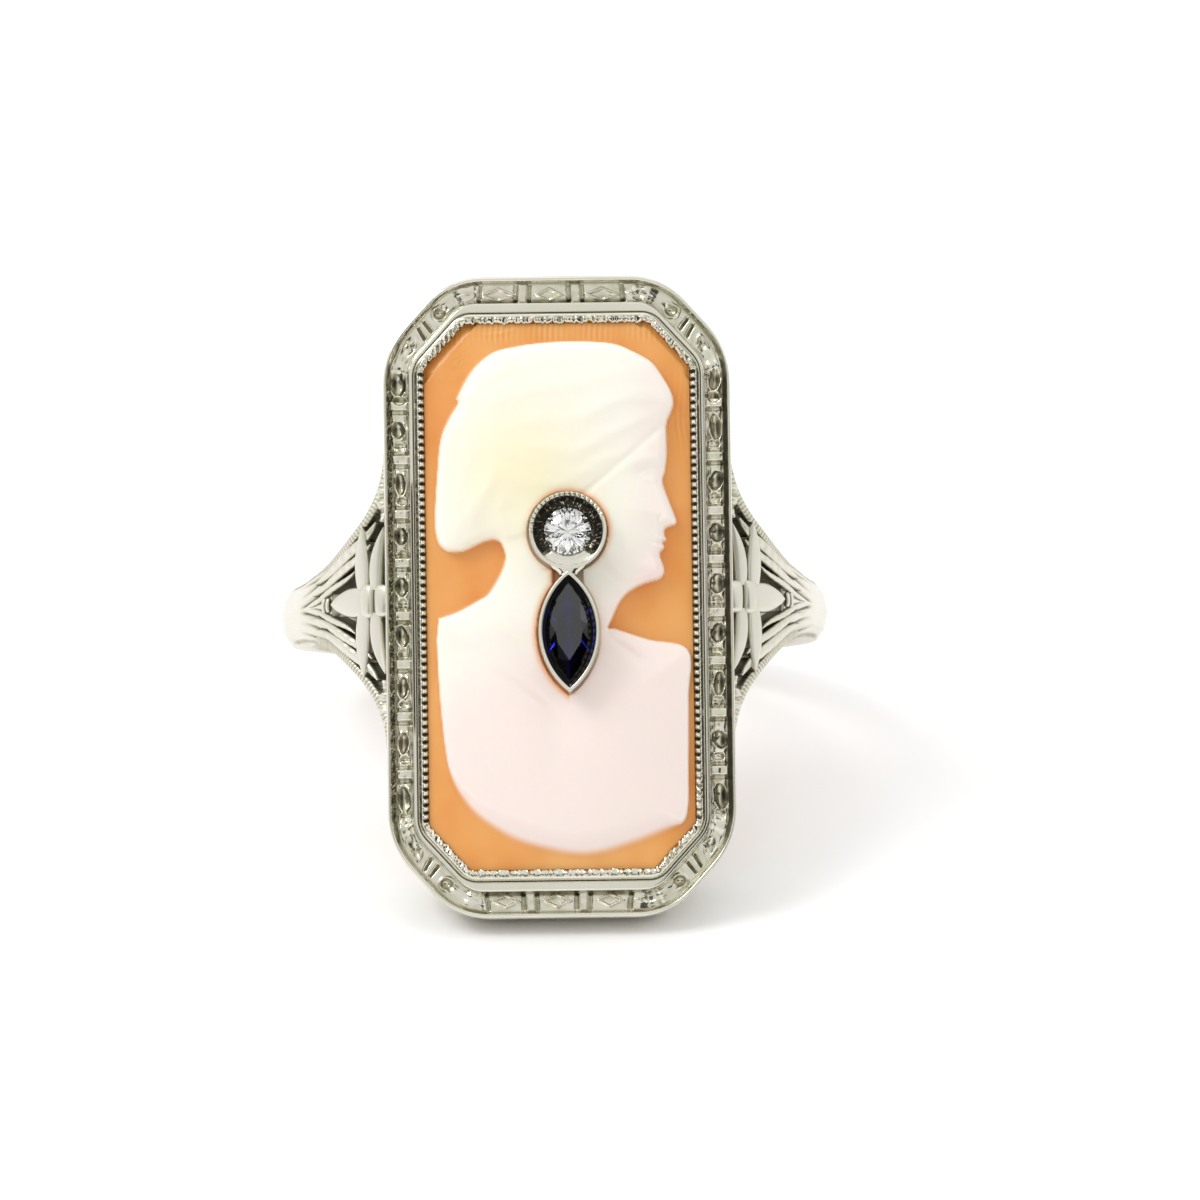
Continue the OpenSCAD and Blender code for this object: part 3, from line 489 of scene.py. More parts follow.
def flare_inset(turn, inset):
    """A point of the outline moved in by inset, square to the outline."""
    turn = np.asarray(turn, float)
    before, after = np.maximum(0, turn - 0.5), np.minimum(90, turn + 0.5)
    way = np.stack([(flare_s(after) - flare_s(before)) * unroll, flare_y(after) - flare_y(before)], -1)
    way /= np.linalg.norm(way, axis=-1, keepdims=True)
    return np.stack([flare_s(turn) + way[..., 1] * inset / unroll, flare_y(turn) - way[..., 0] * inset], -1)


def notches(run, pitch):
    """Milling: a row of rounded teeth, as the absolute value of a sine."""
    return np.abs(np.sin(np.pi * run / pitch))


carved_s = np.linspace(web_end, 0.1, 150)
plain_s = np.linspace(0.1, -np.pi / 2 / meet_angle, 110)[1:]
half_path = np.concatenate([carved_s, plain_s])
q = np.linspace(-1, 1, 65)
s = half_path[:, None]
half_width = np.where(s >= 0, flare_y_at(s),
                      mix(shank_side_w, shank_w, np.clip(-s * meet_angle / (np.pi / 2), 0, 1)) / 2)
y = q * half_width
inset = (flare_y_at(s) - np.abs(y)) / np.sqrt(1 + (np.gradient(flare_y_at(half_path), half_path * unroll)
                                                   [:, None]) ** 2)
crown = -edge_drop * np.where(np.abs(q) < 0.62, 0.32 * np.abs(q) / 0.62,
                              0.32 + 0.68 * (np.abs(q) - 0.62) / 0.38)
wander = 0.04 * np.sin(1.4 * s * unroll + y)
leaf_lines = np.maximum(bell((inset - 0.3 + wander) / 0.055) * smooth((s - 0.34) / 0.3),
                        bell((inset - 0.62 - wander) / 0.05) * smooth((s - 0.42) / 0.25))
leaf_lines = np.maximum(leaf_lines, 0.8 * bell((inset - 0.93 + wander) / 0.045) * smooth((s - 0.5) / 0.2))
middle_line = bell((np.abs(y) - mix(0.12, 0.42, smooth((s - 0.45) / 0.3)) + wander) / 0.05)
middle_line = middle_line * smooth((s - 0.46) / 0.07)
barbs = (1 - notches(s * unroll + 1.1 * np.abs(y), 0.3)) * plateau(inset - 0.45, 0.1, 0.08)
barbs = barbs * smooth((s - 0.5) / 0.2)
depth = 0.12 * np.maximum(leaf_lines, middle_line) + 0.035 * barbs
ragged = np.random.default_rng(21).random(s.shape)
milled = 0.05 * ragged * smooth((np.abs(q) - 0.86) / 0.08) * smooth((s - 0.1) / 0.15)
outer = round_finger(shoulder_r(s) + crown - depth - milled, s, y)
inner_q = np.linspace(1, -1, 9)[1:-1]
inner = round_finger(bore_r + 0.02, s, inner_q * half_width)
edge = round_finger(bore_r + 0.02, s, np.array([[1.0]]) * half_width)
other_edge = round_finger(bore_r + 0.02, s, np.array([[-1.0]]) * half_width)
half_band = np.concatenate([outer, edge, inner, other_edge], 1)
band = np.concatenate([half_band, (half_band * [-1, 1, 1])[-2::-1]])
band_shade = np.zeros(half_band.shape[:2])
band_shade[:, :len(q)] = np.clip(depth / 0.12, 0, 1) * 0.8 + np.clip(milled / 0.05, 0, 1) * 0.5
band_shade = np.concatenate([band_shade, band_shade[-2::-1]])
band_metal = white_gold("white_gold_worn", 0.3, 0.06)
make_piece("shank", [skin(band, band_shade, capped=True)], band_metal, "ring_mount")

# The pierced shoulders
# Leaf blades, petals, a tie and a stepped heart are sawn out of the white gold between two milled edge
# wires, and each is rounded with a file. The gaps between them are cut through.
heart_s, tie_s, heart_w = 0.945, 0.735, 1.2


def rib(centre, half, crown, flank, foot, fullness=1.0):
    """A rib along a line of points in s and y: across it the height falls from its crown to its flanks as
    the square root of 1 minus the cross distance squared, and straight walls go down to its foot."""
    k = np.linspace(-1, 1, 15)
    side = centre[:, None] + half[:, None] * k[:, None]
    arch = np.sqrt(np.clip(1 - np.abs(k) ** 2.2, 0, 1)) ** fullness
    top = on_shoulder(side[..., 0], side[..., 1], mix(flank[:, None], crown[:, None], arch))
    corner = side[:, [-1, 0]]
    low = on_shoulder(corner[..., 0], corner[..., 1], foot[:, None])
    return np.concatenate([top, low], 1)


def half_vector(turn, half):
    """Half width of a rib that follows the outline, as a vector in s and y."""
    return (flare_inset(turn, 1e-3) - flare_inset(turn, 0)) * 1e3 * half[:, None]


def blade(first, last, inset, width, height):
    """A long leaf that follows the outline between two turns, with painted shade on its edges and sides and a
    fine ripple.
    """
    k = np.linspace(0, 1, 90)
    swell = np.sin(np.pi * np.clip(k, 0.02, 0.98)) ** 0.5
    turn = mix(first, last, k)
    line = flare_inset(turn, inset + 0.03 * np.sin(9 * k))
    top = height * mix(0.3, 1.0, swell) + 0.012 * np.sin(60 * k) * swell
    edge_shade = np.append(np.abs(np.linspace(-1, 1, 15)) ** 5, [1, 1])
    return skin(rib(line, half_vector(turn, width / 2 * swell), top, top - 0.14, np.full(90, -leaf_depth)),
                0.75 * edge_shade, capped=True)


def petal(start, end, width, turn_out, fullness=0.45):
    """A petal, widest a third of the way along and pointed at its tip, with a nearly flat bright top."""
    k = np.linspace(0, 1, 50)
    line = mix(np.array(start), np.array(end), k[:, None])
    line[:, 0] += turn_out * np.sin(np.pi * k)
    way = np.array([(end[0] - start[0]) * unroll, end[1] - start[1]])
    n = np.array([-way[1] / unroll, way[0]]) / np.linalg.norm(way)
    swell = np.sin(np.pi * mix(0.2, 1, k) ** 0.85) ** 0.7
    top = leaf_crown * mix(1.0, 1.4, k)
    return skin(rib(line, n * (width / 2 * np.maximum(swell, 0.04))[:, None], top, top - 0.12,
                    np.full(50, -leaf_depth), fullness), 0.0, capped=True)


def cushion(s, length, width, rise):
    """A low rounded block across the shoulder: a superellipse dome on straight walls, with painted shade at
    its two ends.
    """
    k = np.linspace(-1, 1, 23)
    line = np.stack([s + length / unroll / 2 * k, 0 * k], 1)
    half = np.stack([0 * k, width / 2 * (1 - 0.12 * k * k)], 1)
    top = rise * (1 - 0.5 * np.abs(k) ** 4)
    return skin(rib(line, half, top, top - 0.16, np.full(23, -leaf_depth + 0.12), 0.5),
                0.6 * np.abs(k[:, None]) ** 6, capped=True)


def shoulder_skins():
    """Every rib of one half of a shoulder, apart from what lies on its middle line."""
    turn = np.linspace(20, 90, 190)
    out = smooth((turn - 22) / 30)
    half = mix(0.2, 0.17, out)
    centre = flare_inset(turn, half)
    run = np.append(0, np.cumsum(np.linalg.norm(np.diff(centre * [unroll, 1], axis=0), axis=1)))
    teeth = notches(run, 0.15)
    crown = mix(-0.3, 0.02, out) - 0.03 * (1 - teeth)
    foot = bore_r + 0.02 + 1.15 * smooth((centre[:, 0] - 0.8) / 0.2) - shoulder_r(centre[:, 0])
    # The milled edge wire: painted shade between its teeth.
    skins = [skin(rib(centre, half_vector(turn, half), crown, crown - 0.14, foot), 0.6 * (1 - teeth)[:, None],
                  capped=True)]
    skins += [blade(25, 61, 0.58, 0.42, 0.12), blade(23, 54, 0.93, 0.34, 0.15),
              blade(20, 44, 1.22, 0.26, 0.12)]
    skins += [petal((heart_s - 0.02, 0.4), (heart_s - 0.012, 2.62), 0.6, -0.008),
              petal((heart_s + 0.03, 0.4), (heart_s + 0.07, 2.55), 0.5, -0.014)]
    # A rough wire where the shoulder meets the frame, with painted shade where its lumps are low.
    k = np.linspace(0, 1, 30)
    rough = np.stack([0.998 + 0.006 * np.sin(9 * k), mix(2.75, 4.3, k)], 1)
    lumps = 0.05 * np.sin(21 * k) + 0.03 * np.sin(47 * k)
    wide = np.stack([0.022 * np.sin(np.pi * np.clip(k, 0.06, 0.96)) ** 0.5, 0 * k], 1)
    skins.append(skin(rib(rough, wide, 0.02 + lumps, lumps - 0.16, np.full(30, -0.5)),
                      0.4 * (lumps[:, None] < 0), capped=True))
    return skins


def turned_skins(skins, signs):
    """The same surfaces mirrored by signs, with their faces turned round where that takes an odd number."""
    odd = np.prod(signs) < 0
    return [(points * signs, [face[::-1] for face in faces] if odd else faces, shade)
            for points, faces, shade in skins]


half_shoulder = shoulder_skins()
middle = [petal((heart_s - 0.01, 0.0), (heart_s - 0.165, 0.0), 1.06, 0.0, 0.4),
          cushion(tie_s - 0.017, 0.2, 0.62, 0.12), cushion(tie_s + 0.009, 0.2, 0.56, 0.12),
          cushion(heart_s, 0.56, heart_w, 0.26), cushion(heart_s + 0.055, 0.6, heart_w * 0.96, 0.22)]
right_shoulder = half_shoulder + turned_skins(half_shoulder, [1, -1, 1]) + middle
shoulders = right_shoulder + turned_skins(right_shoulder, [-1, 1, 1])
petal_metal = white_gold("white_gold_filed", 0.34, 0.05)
make_piece("pierced_shoulders", shoulders, petal_metal, "ring_mount")

# The bezel strip
# A separate strip of white gold stands in the frame with its top pushed over the shell. Along the sides
# the turned edge is milled into a row of grains. At the ends and corners it is burnished and uneven.
lip_z = rim_z + 0.35
strip_section = np.array([
    [0.38, 0.38, 0.38, ledge_z + 0.03], [0.395, 0.395, 0.395, rim_z + 0.02], [0.22, 0.33, 0.28, lip_z - 0.07],
    [0.17, 0.27, 0.23, lip_z - 0.03], [0.02, 0.02, 0.02, lip_z - 0.06], [0.0, 0.0, 0.0, lip_z - 0.19],
    [0.19, 0.19, 0.19, lip_z - 0.19], [0.19, 0.19, 0.19, ledge_z + 0.03],
])
strip_rows = softened(strip_section, [0, 0.02, 0.03, 0.03, 0.03, 0, 0, 0], [0, 5, 0, 13, 1, 0, 0, 0])
strip, strip_share = cut_outline(strip_rows[:, 0], strip_rows[:, 1], strip_rows[:, 2],
                                 rounding(strip_rows[:, 0]), (720, 240, 110))
strip_run = np.append(0, np.cumsum(np.linalg.norm(np.diff(strip[0], axis=0), axis=1)))


def waves(run, total, lengths, seed):
    """Uneven hand work along a loop: sines of the given wavelengths with random strengths and starts."""
    rng = np.random.default_rng(seed)
    out = np.zeros(len(run))
    for length in lengths:
        count = max(1, round(total / length))
        out += rng.uniform(0.5, 1) * np.sin(2 * np.pi * (count * run / total + rng.random()))
    return out / len(lengths)


strip_offset = strip_rows[:, :3] @ strip_share.T
strip_x, strip_y = strip[0].T
on_lip = smooth((0.24 - strip_offset) / 0.03) * (strip_rows[:, 3] > lip_z - 0.15)[:, None]
grain_pitch = 0.265
grain_at = np.abs((strip_y + grain_pitch / 2) % grain_pitch - grain_pitch / 2) / (grain_pitch / 2)
grain_wide = smooth((0.16 - np.abs(strip_offset - 0.13)) / 0.12)
grain = np.clip(1 - grain_at * 1.25, 0, 1) ** 0.7 * grain_wide
crushed = np.clip(bell((strip_x + 3.9) / 0.9) * bell((strip_y - 8.7) / 0.9)
                  + bell((strip_x - 3.6) / 0.6) * bell((strip_y + 8.7) / 0.6)
                  + bell((strip_x - 4.6) / 0.4) * bell((strip_y + 6.7) / 0.8), 0, 1)
milled_share = strip_share[:, 0] ** 4 * (1 - crushed)
lumps = waves(strip_run, strip_run[-1], (2.1, 0.9, 0.45, 0.31, 0.19, 0.13), 8)
ripple = waves(strip_run, strip_run[-1], (0.62, 0.37, 0.21, 0.13), 9)
hatch = bell(((strip_run + 0.5 * strip_offset) % 0.21 - 0.105) / 0.035) * crushed
bead = np.sin(np.pi * np.clip(strip_offset / 0.27, 0, 1))
polished = (1 - milled_share) * (0.07 * lumps + 0.06 * ripple * bead + 0.03 * bead - 0.09 * hatch)
lift = on_lip * (milled_share * (0.12 * grain - 0.08) + polished)
push = (1 - milled_share) * on_lip * (0.07 * ripple + 0.05 * lumps) * smooth((0.16 - strip_offset) / 0.1)
gap_shade = 1 - grain * 1.3
line_shade = 0.9 * bell((strip_offset - 0.235 - 0.04 * ripple) / 0.03) + 0.6 * bell(strip_offset / 0.03)
line_shade += 0.55 * (ripple > 0.42) * bead + 0.5 * hatch
strip_shade = np.clip(on_lip * (milled_share * gap_shade + (1 - milled_share) * line_shade), 0, 1)
strip_shade[strip_rows[:, 3] < rim_z + 0.02] = 0.35
centre_way = strip / np.linalg.norm(strip, axis=2, keepdims=True)
strip_grid = np.dstack([strip + centre_way * push[..., None], strip_rows[:, 3, None] + lift])
strip_metal = white_gold("white_gold_burnished", 0.12, 0.04)
make_piece("bezel_strip", [skin(strip_grid, strip_shade, ring_rows=True)], strip_metal, "cameo_bezel")

# The shell plaque
# Carved by hand from a helmet shell with an orange ground under a cream layer. The cream is cut away
# round a bust, whose lower edge is pared so thin that the orange shows through. The rim is polished.
plaque_w, plaque_l = open_w + 0.16, open_l + 0.16
plaque_cut = corner_slope * plaque_w + plaque_l - (window_support + 0.16) * slope_norm
plaque_edge_z, plaque_back_z = lip_z - 0.19, ledge_z + 0.03
ground_z, ground_swell = lip_z - 0.21, 0.3
seat_z = 11.8452
drop_x, drop_y, drop_gap = 0.28, 2.12, 0.02
collet_r = 1.35
lens_y = drop_y - collet_r - 2.125 + 0.02
lens_w, lens_l = 2.14, 4.25
lens_r = (lens_w ** 2 + lens_l ** 2) / (4 * lens_w)
lens_x = lens_r - lens_w / 2


def curve_through(points, per_span):
    """Catmull-Rom curve: each span is the cubic whose slope at a point is half the step between its
    neighbours."""
    p = np.array(points, float)
    p = np.concatenate([[2 * p[0] - p[1]], p, [2 * p[-1] - p[-2]]])
    t = np.linspace(0, 1, per_span, endpoint=False)[:, None]
    a, b, c, d = p[:-3, None], p[1:-2, None], p[2:-1, None], p[3:, None]
    spans = 0.5 * (2 * b + (c - a) * t + (2 * a - 5 * b + 4 * c - d) * t ** 2
                   + (3 * b - a - 3 * c + d) * t ** 3)
    return np.concatenate([spans.reshape(-1, 2), p[-2:-1]])


def distance_to(points, line, closed=False):
    """Distance from each point to the nearest place on a polyline, and how far along that place is."""
    start = np.array(line, float)
    end = np.roll(start, -1, axis=0) if closed else start[1:]
    start = start if closed else start[:-1]
    way = end - start
    best, along = np.full(len(points), 1e9), np.zeros(len(points))
    for i, (a, w) in enumerate(zip(start, way)):
        k = np.clip(((points - a) @ w) / (w @ w), 0, 1)
        d = np.hypot(*(points - a - k[:, None] * w).T)
        along = np.where(d < best, i + k, along)
        best = np.minimum(best, d)
    return best, along / len(way)


def inside_of(points, line):
    """True inside a closed polyline: a ray to the right crosses it an odd number of times."""
    x, y = points.T
    odd = np.zeros(len(points), bool)
    for (x0, y0), (x1, y1) in zip(line, np.roll(line, -1, axis=0)):
        if y0 != y1:
            odd ^= ((y0 > y) != (y1 > y)) & (x < x0 + (y - y0) * (x1 - x0) / (y1 - y0))
    return odd


# Outlines of the hair and the body, from points read in the photograph
hair_edge = [(3.83, 6.0), (3.94, 6.25), (4.05, 6.6), (3.95, 7.05), (3.66, 7.57), (3.3, 8.06), (2.64, 8.45),
             (1.93, 8.72), (0.65, 8.81), (-0.6, 8.76), (-1.58, 8.62), (-2.28, 8.41), (-2.95, 7.82),
             (-3.47, 6.91), (-3.46, 6.67), (-3.78, 6.14), (-4.07, 5.41), (-4.2, 4.22), (-4.29, 2.83),
             (-4.23, 1.99), (-3.94, 1.57), (-3.35, 1.52), (-2.72, 1.78), (-2.44, 1.88), (-2.12, 1.87),
             (-1.95, 1.62), (-1.89, 1.26), (-2.08, 0.73), (-2.46, 0.12), (-2.78, -0.1), (-3.51, -0.49),
             (-4.21, -0.73)]
bust_edge = [(-4.29, -1.5), (-4.24, -2.9), (-4.09, -4.82), (-3.87, -6.21), (-3.49, -7.08), (-2.91, -7.78),
             (-1.87, -8.48), (-0.65, -8.9), (0.91, -9.11), (2.66, -8.66), (3.8, -8.15), (4.32, -7.6),
             (4.4, -5.69), (4.43, -3.59), (4.44, -1.92), (3.07, -1.54), (1.89, -1.15)]
# The face's profile, in thirds: shares of its height from chin to hairline, and how far it stands forward.
# Its height and its reach go with the head's size, which was read in the photograph.
face_low, face_high, face_x = 0.47, 6.17, 3.38
face_keys = np.array([
    (0.0, 0.02), (0.015, 0.16), (0.045, 0.245), (0.08, 0.25), (0.115, 0.19), (0.145, 0.13), (0.165, 0.135),
    (0.18, 0.2), (0.198, 0.275), (0.215, 0.255), (0.228, 0.235), (0.24, 0.335), (0.255, 0.35),
    (0.27, 0.3), (0.295, 0.285), (0.315, 0.36), (0.325, 0.52), (0.335, 0.66), (0.352, 0.705),
    (0.375, 0.69), (0.42, 0.6), (0.48, 0.47), (0.54, 0.34), (0.585, 0.26), (0.615, 0.25), (0.655, 0.33),
    (0.7, 0.37), (0.76, 0.41), (0.85, 0.41), (0.93, 0.4),
])
face_line = np.stack([face_x + face_keys[:, 1], mix(face_low, face_high, face_keys[:, 0])], 1)
neck_line = [(1.68, -1.15), (1.86, -0.75), (2.05, -0.35), (2.35, 0.02), (2.85, 0.3)]
figure = np.concatenate([curve_through(hair_edge, 6), curve_through(bust_edge, 6),
                         curve_through(neck_line + face_line.tolist(), 5)])

rows_y = np.linspace(-plaque_l, plaque_l, 446)
half_x = np.minimum(plaque_w, plaque_w - (np.abs(rows_y) - (plaque_l - plaque_cut)) / corner_slope)
px = np.linspace(-1, 1, 216) * half_x[:, None]
py = np.broadcast_to(rows_y[:, None], px.shape)
where = np.stack([px.ravel(), py.ravel()], 1)


def depth_inside(shape):
    """How deep each sample lies inside a closed line: its distance to it, which is negative outside."""
    near = distance_to(where, shape, closed=True)[0]
    return np.where(inside_of(where, shape), near, -near).reshape(px.shape)


depth_in = depth_inside(figure)

pared = smooth((-4.6 - py + 0.25 * px) / 3.2) * smooth((4.6 - np.abs(px + 0.3)) / 1.2)
edge_soft = mix(0.09, 1.0, pared)
rise = mix(0.4, 0.3, smooth((-py - 1.0) / 1.0))
body = rise * smooth(depth_in / edge_soft) + 0.45 * (1 - np.exp(-np.maximum(depth_in, 0) / 1.5))


def stroke(line, width, per_span=8):
    """A soft ridge along a curve: a bell of the distance to it, which fades towards both its ends."""
    d, k = distance_to(where, curve_through(line, per_span))
    return (bell(d / width) * np.sin(np.pi * np.clip(k, 0.02, 0.98)) ** 0.5).reshape(px.shape)


def mound(x, y, wide, tall, lean=0.0):
    """A soft hill: a bell of the distance from its middle, in units of its own width and height."""
    c, t = np.cos(lean), np.sin(lean)
    dx, dy = px - x, py - y
    return bell(np.hypot((c * dx + t * dy) / wide, (c * dy - t * dx) / tall))


hair_front = curve_through([(3.83, 6.02), (3.2, 5.45), (2.6, 4.95), (1.9, 4.35), (1.2, 3.75), (0.5, 3.2),
                            (-0.3, 2.6), (-1.2, 2.1), (-2.2, 1.86)], 8)
hair_shape = np.concatenate([curve_through(hair_edge[:25], 6), hair_front[::-1]])
hair = smooth(depth_inside(hair_shape) / 0.3 + 0.5)

# Locks of hair: long waves that sweep back from the brow, over the crown and down into the knot
locks = [
    ([(3.7, 6.25), (2.9, 6.0), (2.0, 5.6), (1.2, 5.2), (0.5, 4.85), (-0.3, 5.1), (-1.3, 5.2)], 0.2, 0.09),
    ([(3.8, 6.8), (2.8, 6.9), (1.6, 6.5), (0.4, 6.0), (-0.9, 6.0), (-2.0, 5.6)], 0.22, 0.07),
    ([(3.4, 7.6), (2.2, 7.7), (0.8, 7.3), (-0.7, 7.1), (-2.2, 6.7), (-3.2, 6.0)], 0.24, 0.07),
    ([(2.4, 8.3), (1.0, 8.3), (-0.7, 8.1), (-2.2, 7.7), (-3.1, 6.9)], 0.22, 0.06),
    ([(2.4, 4.9), (1.5, 4.55), (0.6, 4.0), (-0.3, 3.7), (-1.3, 3.9), (-2.0, 4.4)], 0.2, 0.07),
    ([(1.2, 3.9), (0.3, 3.2), (-0.7, 2.7), (-1.6, 2.5), (-2.3, 2.7)], 0.18, 0.06),
    ([(-3.3, 6.2), (-3.0, 5.2), (-3.3, 4.2), (-3.6, 3.2), (-3.6, 2.3)], 0.22, 0.06),
    ([(-2.5, 5.6), (-2.2, 4.6), (-2.5, 3.6), (-2.9, 2.8), (-3.0, 2.1)], 0.2, 0.06),
    ([(-1.7, 3.4), (-2.0, 3.0), (-1.9, 2.5), (-2.4, 2.2)], 0.15, 0.05),
]
lock_relief = sum(0.5 * height * stroke(line, width * 1.3) for line, width, height in locks)
flow_x = px + 0.35 * np.sin(0.9 * py + 0.5)
strands = np.sin(14 * (py - 0.35 * flow_x + 0.5 * np.sin(0.8 * px - 0.4)))
forms = hair * (0.12 + lock_relief + 0.0015 * strands)
cheek = 0.1 * mound(2.2, 2.5, 0.95, 1.25)
brow = 0.055 * stroke([(3.68, 4.5), (3.35, 4.62), (2.95, 4.62), (2.5, 4.4)], 0.17)
socket = 0.12 * mound(3.2, 4.12, 0.5, 0.3) + 0.05 * mound(3.55, 4.3, 0.25, 0.3)
ball = 0.1 * mound(3.2, 4.02, 0.24, 0.2)
upper_lid = 0.035 * stroke([(3.5, 4.05), (3.3, 4.2), (3.05, 4.18), (2.82, 4.0)], 0.05)
lower_lid = 0.022 * stroke([(3.46, 3.92), (3.25, 3.86), (3.0, 3.88), (2.84, 3.97)], 0.05)
nose_side = 0.05 * stroke([(3.62, 4.0), (3.72, 3.3), (3.85, 2.65)], 0.16)
wing = 0.06 * mound(3.68, 2.5, 0.16, 0.14) - 0.05 * stroke([(3.5, 2.68), (3.42, 2.5), (3.5, 2.34)], 0.05)
mouth = -0.06 * stroke([(3.66, 1.78), (3.45, 1.79), (3.2, 1.72)], 0.06)
lips = 0.035 * mound(3.5, 1.93, 0.26, 0.1) + 0.035 * mound(3.48, 1.62, 0.24, 0.1)
chin = 0.06 * mound(3.3, 0.95, 0.35, 0.32)
face_shape = np.concatenate([curve_through([(3.4, 0.4), (2.5, 0.3), (1.6, 1.0), (0.9, 2.3), (0.6, 3.3)], 8),
                             [(1.9, 4.4), (3.83, 6.05), (4.6, 6.0), (4.6, 0.4)]])
forms += 0.16 * smooth(depth_inside(face_shape) / 0.5 + 0.35) * (1 - hair)
forms += cheek + brow - socket + ball + upper_lid + lower_lid + nose_side + wing + mouth + lips + chin

# Neck and dress: the height, the line and the width of each ridge, or of each fold where it is negative
for height, line, width in ((0.07, [(1.9, 0.6), (1.3, -0.4), (0.7, -1.2)], 0.4),
                            (-0.09, [(1.71, -1.5), (2.3, -1.9), (2.92, -2.37)], 0.13),
                            (0.06, [(1.3, -1.6), (2.3, -2.3), (3.1, -3.0)], 0.3),
                            (-0.07, [(-2.5, -2.6), (-1.6, -3.0), (-0.9, -3.4), (-0.3, -4.0)], 0.16),
                            (-0.04, [(-2.3, -1.0), (-1.7, -1.3), (-1.2, -1.8)], 0.14)):
    forms += height * stroke(line, width)
forms += 0.16 * mound(-2.3, -4.2, 1.5, 2.2, 0.3) + 0.12 * mound(1.8, -4.6, 1.7, 2.0, -0.2)
forms -= 0.08 * mound(-0.2, -4.4, 0.6, 1.4)
figure_z = body + forms * smooth(depth_in / 0.35)

ground = ground_z + ground_swell * (1 - (px / plaque_w) ** 2) * (1 - (py / plaque_l) ** 4)
wavy = 0.012 * np.sin(2.1 * px + 0.6 * py) * np.sin(1.3 * py + 1) * (depth_in < 0)
edge_in = np.minimum(np.minimum(plaque_w - np.abs(px), plaque_l - np.abs(py)),
                     (window_support + 0.16 - (corner_slope * np.abs(px) + np.abs(py)) / slope_norm))
# The rim is polished to a facet at the cut corner above on the left, and less at the one on the right.
# Fine scratches, a crushed patch and one long tool mark are left on the ground along the top.
facet = (0.16 * np.clip((0.48 - edge_in) / 0.3, 0, 1) * (px < 0)
         + 0.08 * np.clip((0.34 - edge_in) / 0.16, 0, 1) * (px > 0))
near_corner = corner_slope * np.abs(px) + py > corner_slope * plaque_w + plaque_l - plaque_cut - 0.7
facet = facet * (depth_in < 0) * near_corner
open_ground = smooth(-depth_in / 0.15)
striae = np.sin(2 * np.pi * (px + 0.06 * np.sin(2.3 * py)) / 0.19) * (0.6 + 0.4 * np.sin(3.7 * px + py))
scratched_part = smooth((py - 8.6) / 0.4) + smooth((px - 3.9) / 0.3) * smooth((py - 4.5) / 1.5)
striae = striae * np.clip(scratched_part, 0, 1)
grains = np.random.default_rng(31).random(px.shape) * mound(-3.55, 8.05, 0.75, 0.6, 0.8) * open_ground
mark = stroke([(-2.95, 9.12), (-2.4, 9.06), (-1.9, 9.1), (-1.4, 9.2)], 0.07)
marks = (0.006 * striae + 0.035 * grains + 0.035 * mark) * open_ground
surface = ground + wavy + figure_z - facet + marks


def lens_distance(x, y, radius):
    """Distance out from the pointed oval where two circles overlap: the larger of the distances from
    their centres, less the radius."""
    return np.maximum(np.hypot(x - drop_x - lens_x, y - lens_y),
                      np.hypot(x - drop_x + lens_x, y - lens_y)) - radius


drop_out = np.minimum(np.hypot(px - drop_x, py - drop_y) - collet_r, lens_distance(px, py, lens_r))
drop_out = np.minimum(drop_out, np.maximum(np.abs(px - drop_x) - 0.49, np.abs(py - drop_y + 1.3) - 0.5))
in_seat = smooth((drop_gap + 0.02 - drop_out) / 0.03)
surface = mix(surface, np.minimum(surface, seat_z - 0.015), in_seat)
surface = np.maximum(surface, plaque_edge_z - 0.3)
surface = np.where(edge_in < 0.17, np.minimum(surface, plaque_edge_z), surface)
# Painted glow: an orange halo round the drop's collets, strongest above and to the right of the round one,
# and lower down on the left.
to_drop = (px - drop_x) * 0.5 + (py - drop_y) * 0.85
painted_glow_side = np.where(py > drop_y - 1.2, 0.35 + 0.65 * smooth((to_drop + 0.3) / 1.4),
                     0.55 - 0.35 * np.sign(px - drop_x))
painted_glow = bell(np.maximum(drop_out - drop_gap, 0) / 0.15) * painted_glow_side
layer = smooth((surface - ground - wavy - 0.02) / 0.2)
layer = np.where(depth_in > 0.3, np.maximum(layer, 1 - pared), layer) * (depth_in > -0.02)
blush = smooth((1.6 - py + 0.5 * (px - 1)) / 4.0) * 0.85 + 0.5 * smooth((px - 2.0) / 1.4) * (py > -1)
blush = np.clip(blush, 0, 1)
honey = 0.9 * mound(-1.3, 4.2, 2.3, 2.4, 0.3)

top_grid = np.dstack([px, py, surface])
rim = np.concatenate([top_grid[0, :-1], top_grid[:-1, -1], top_grid[-1, :0:-1], top_grid[:0:-1, 0]])
levels = np.linspace(plaque_edge_z - 0.05, plaque_back_z, 5)
sides = [np.column_stack([rim[:, :2], np.full(len(rim), z)]) for z in levels]
rows_n, cols_n = px.shape
index = np.arange(rows_n * cols_n).reshape(rows_n, cols_n)
rim_index = np.concatenate([index[0, :-1], index[:-1, -1], index[-1, :0:-1], index[:0:-1, 0]])
top_faces = quads(rows_n, cols_n)[:, ::-1]
side_index = np.vstack([rim_index, rows_n * cols_n + np.arange(5 * len(rim)).reshape(5, -1)])
a, b = side_index, np.roll(side_index, -1, axis=1)
side_faces = np.stack([a[:-1], a[1:], b[1:], b[:-1]], -1).reshape(-1, 4)
plaque_points = np.concatenate([top_grid.reshape(-1, 3), *sides])
back = side_index[-1]
mesh = bpy.data.meshes.new("shell_plaque")
mesh.from_pydata(bore_centre + plaque_points * MM @ worn_axes, [],
                 [*top_faces.tolist(), *side_faces.tolist(), back[::-1].tolist()])
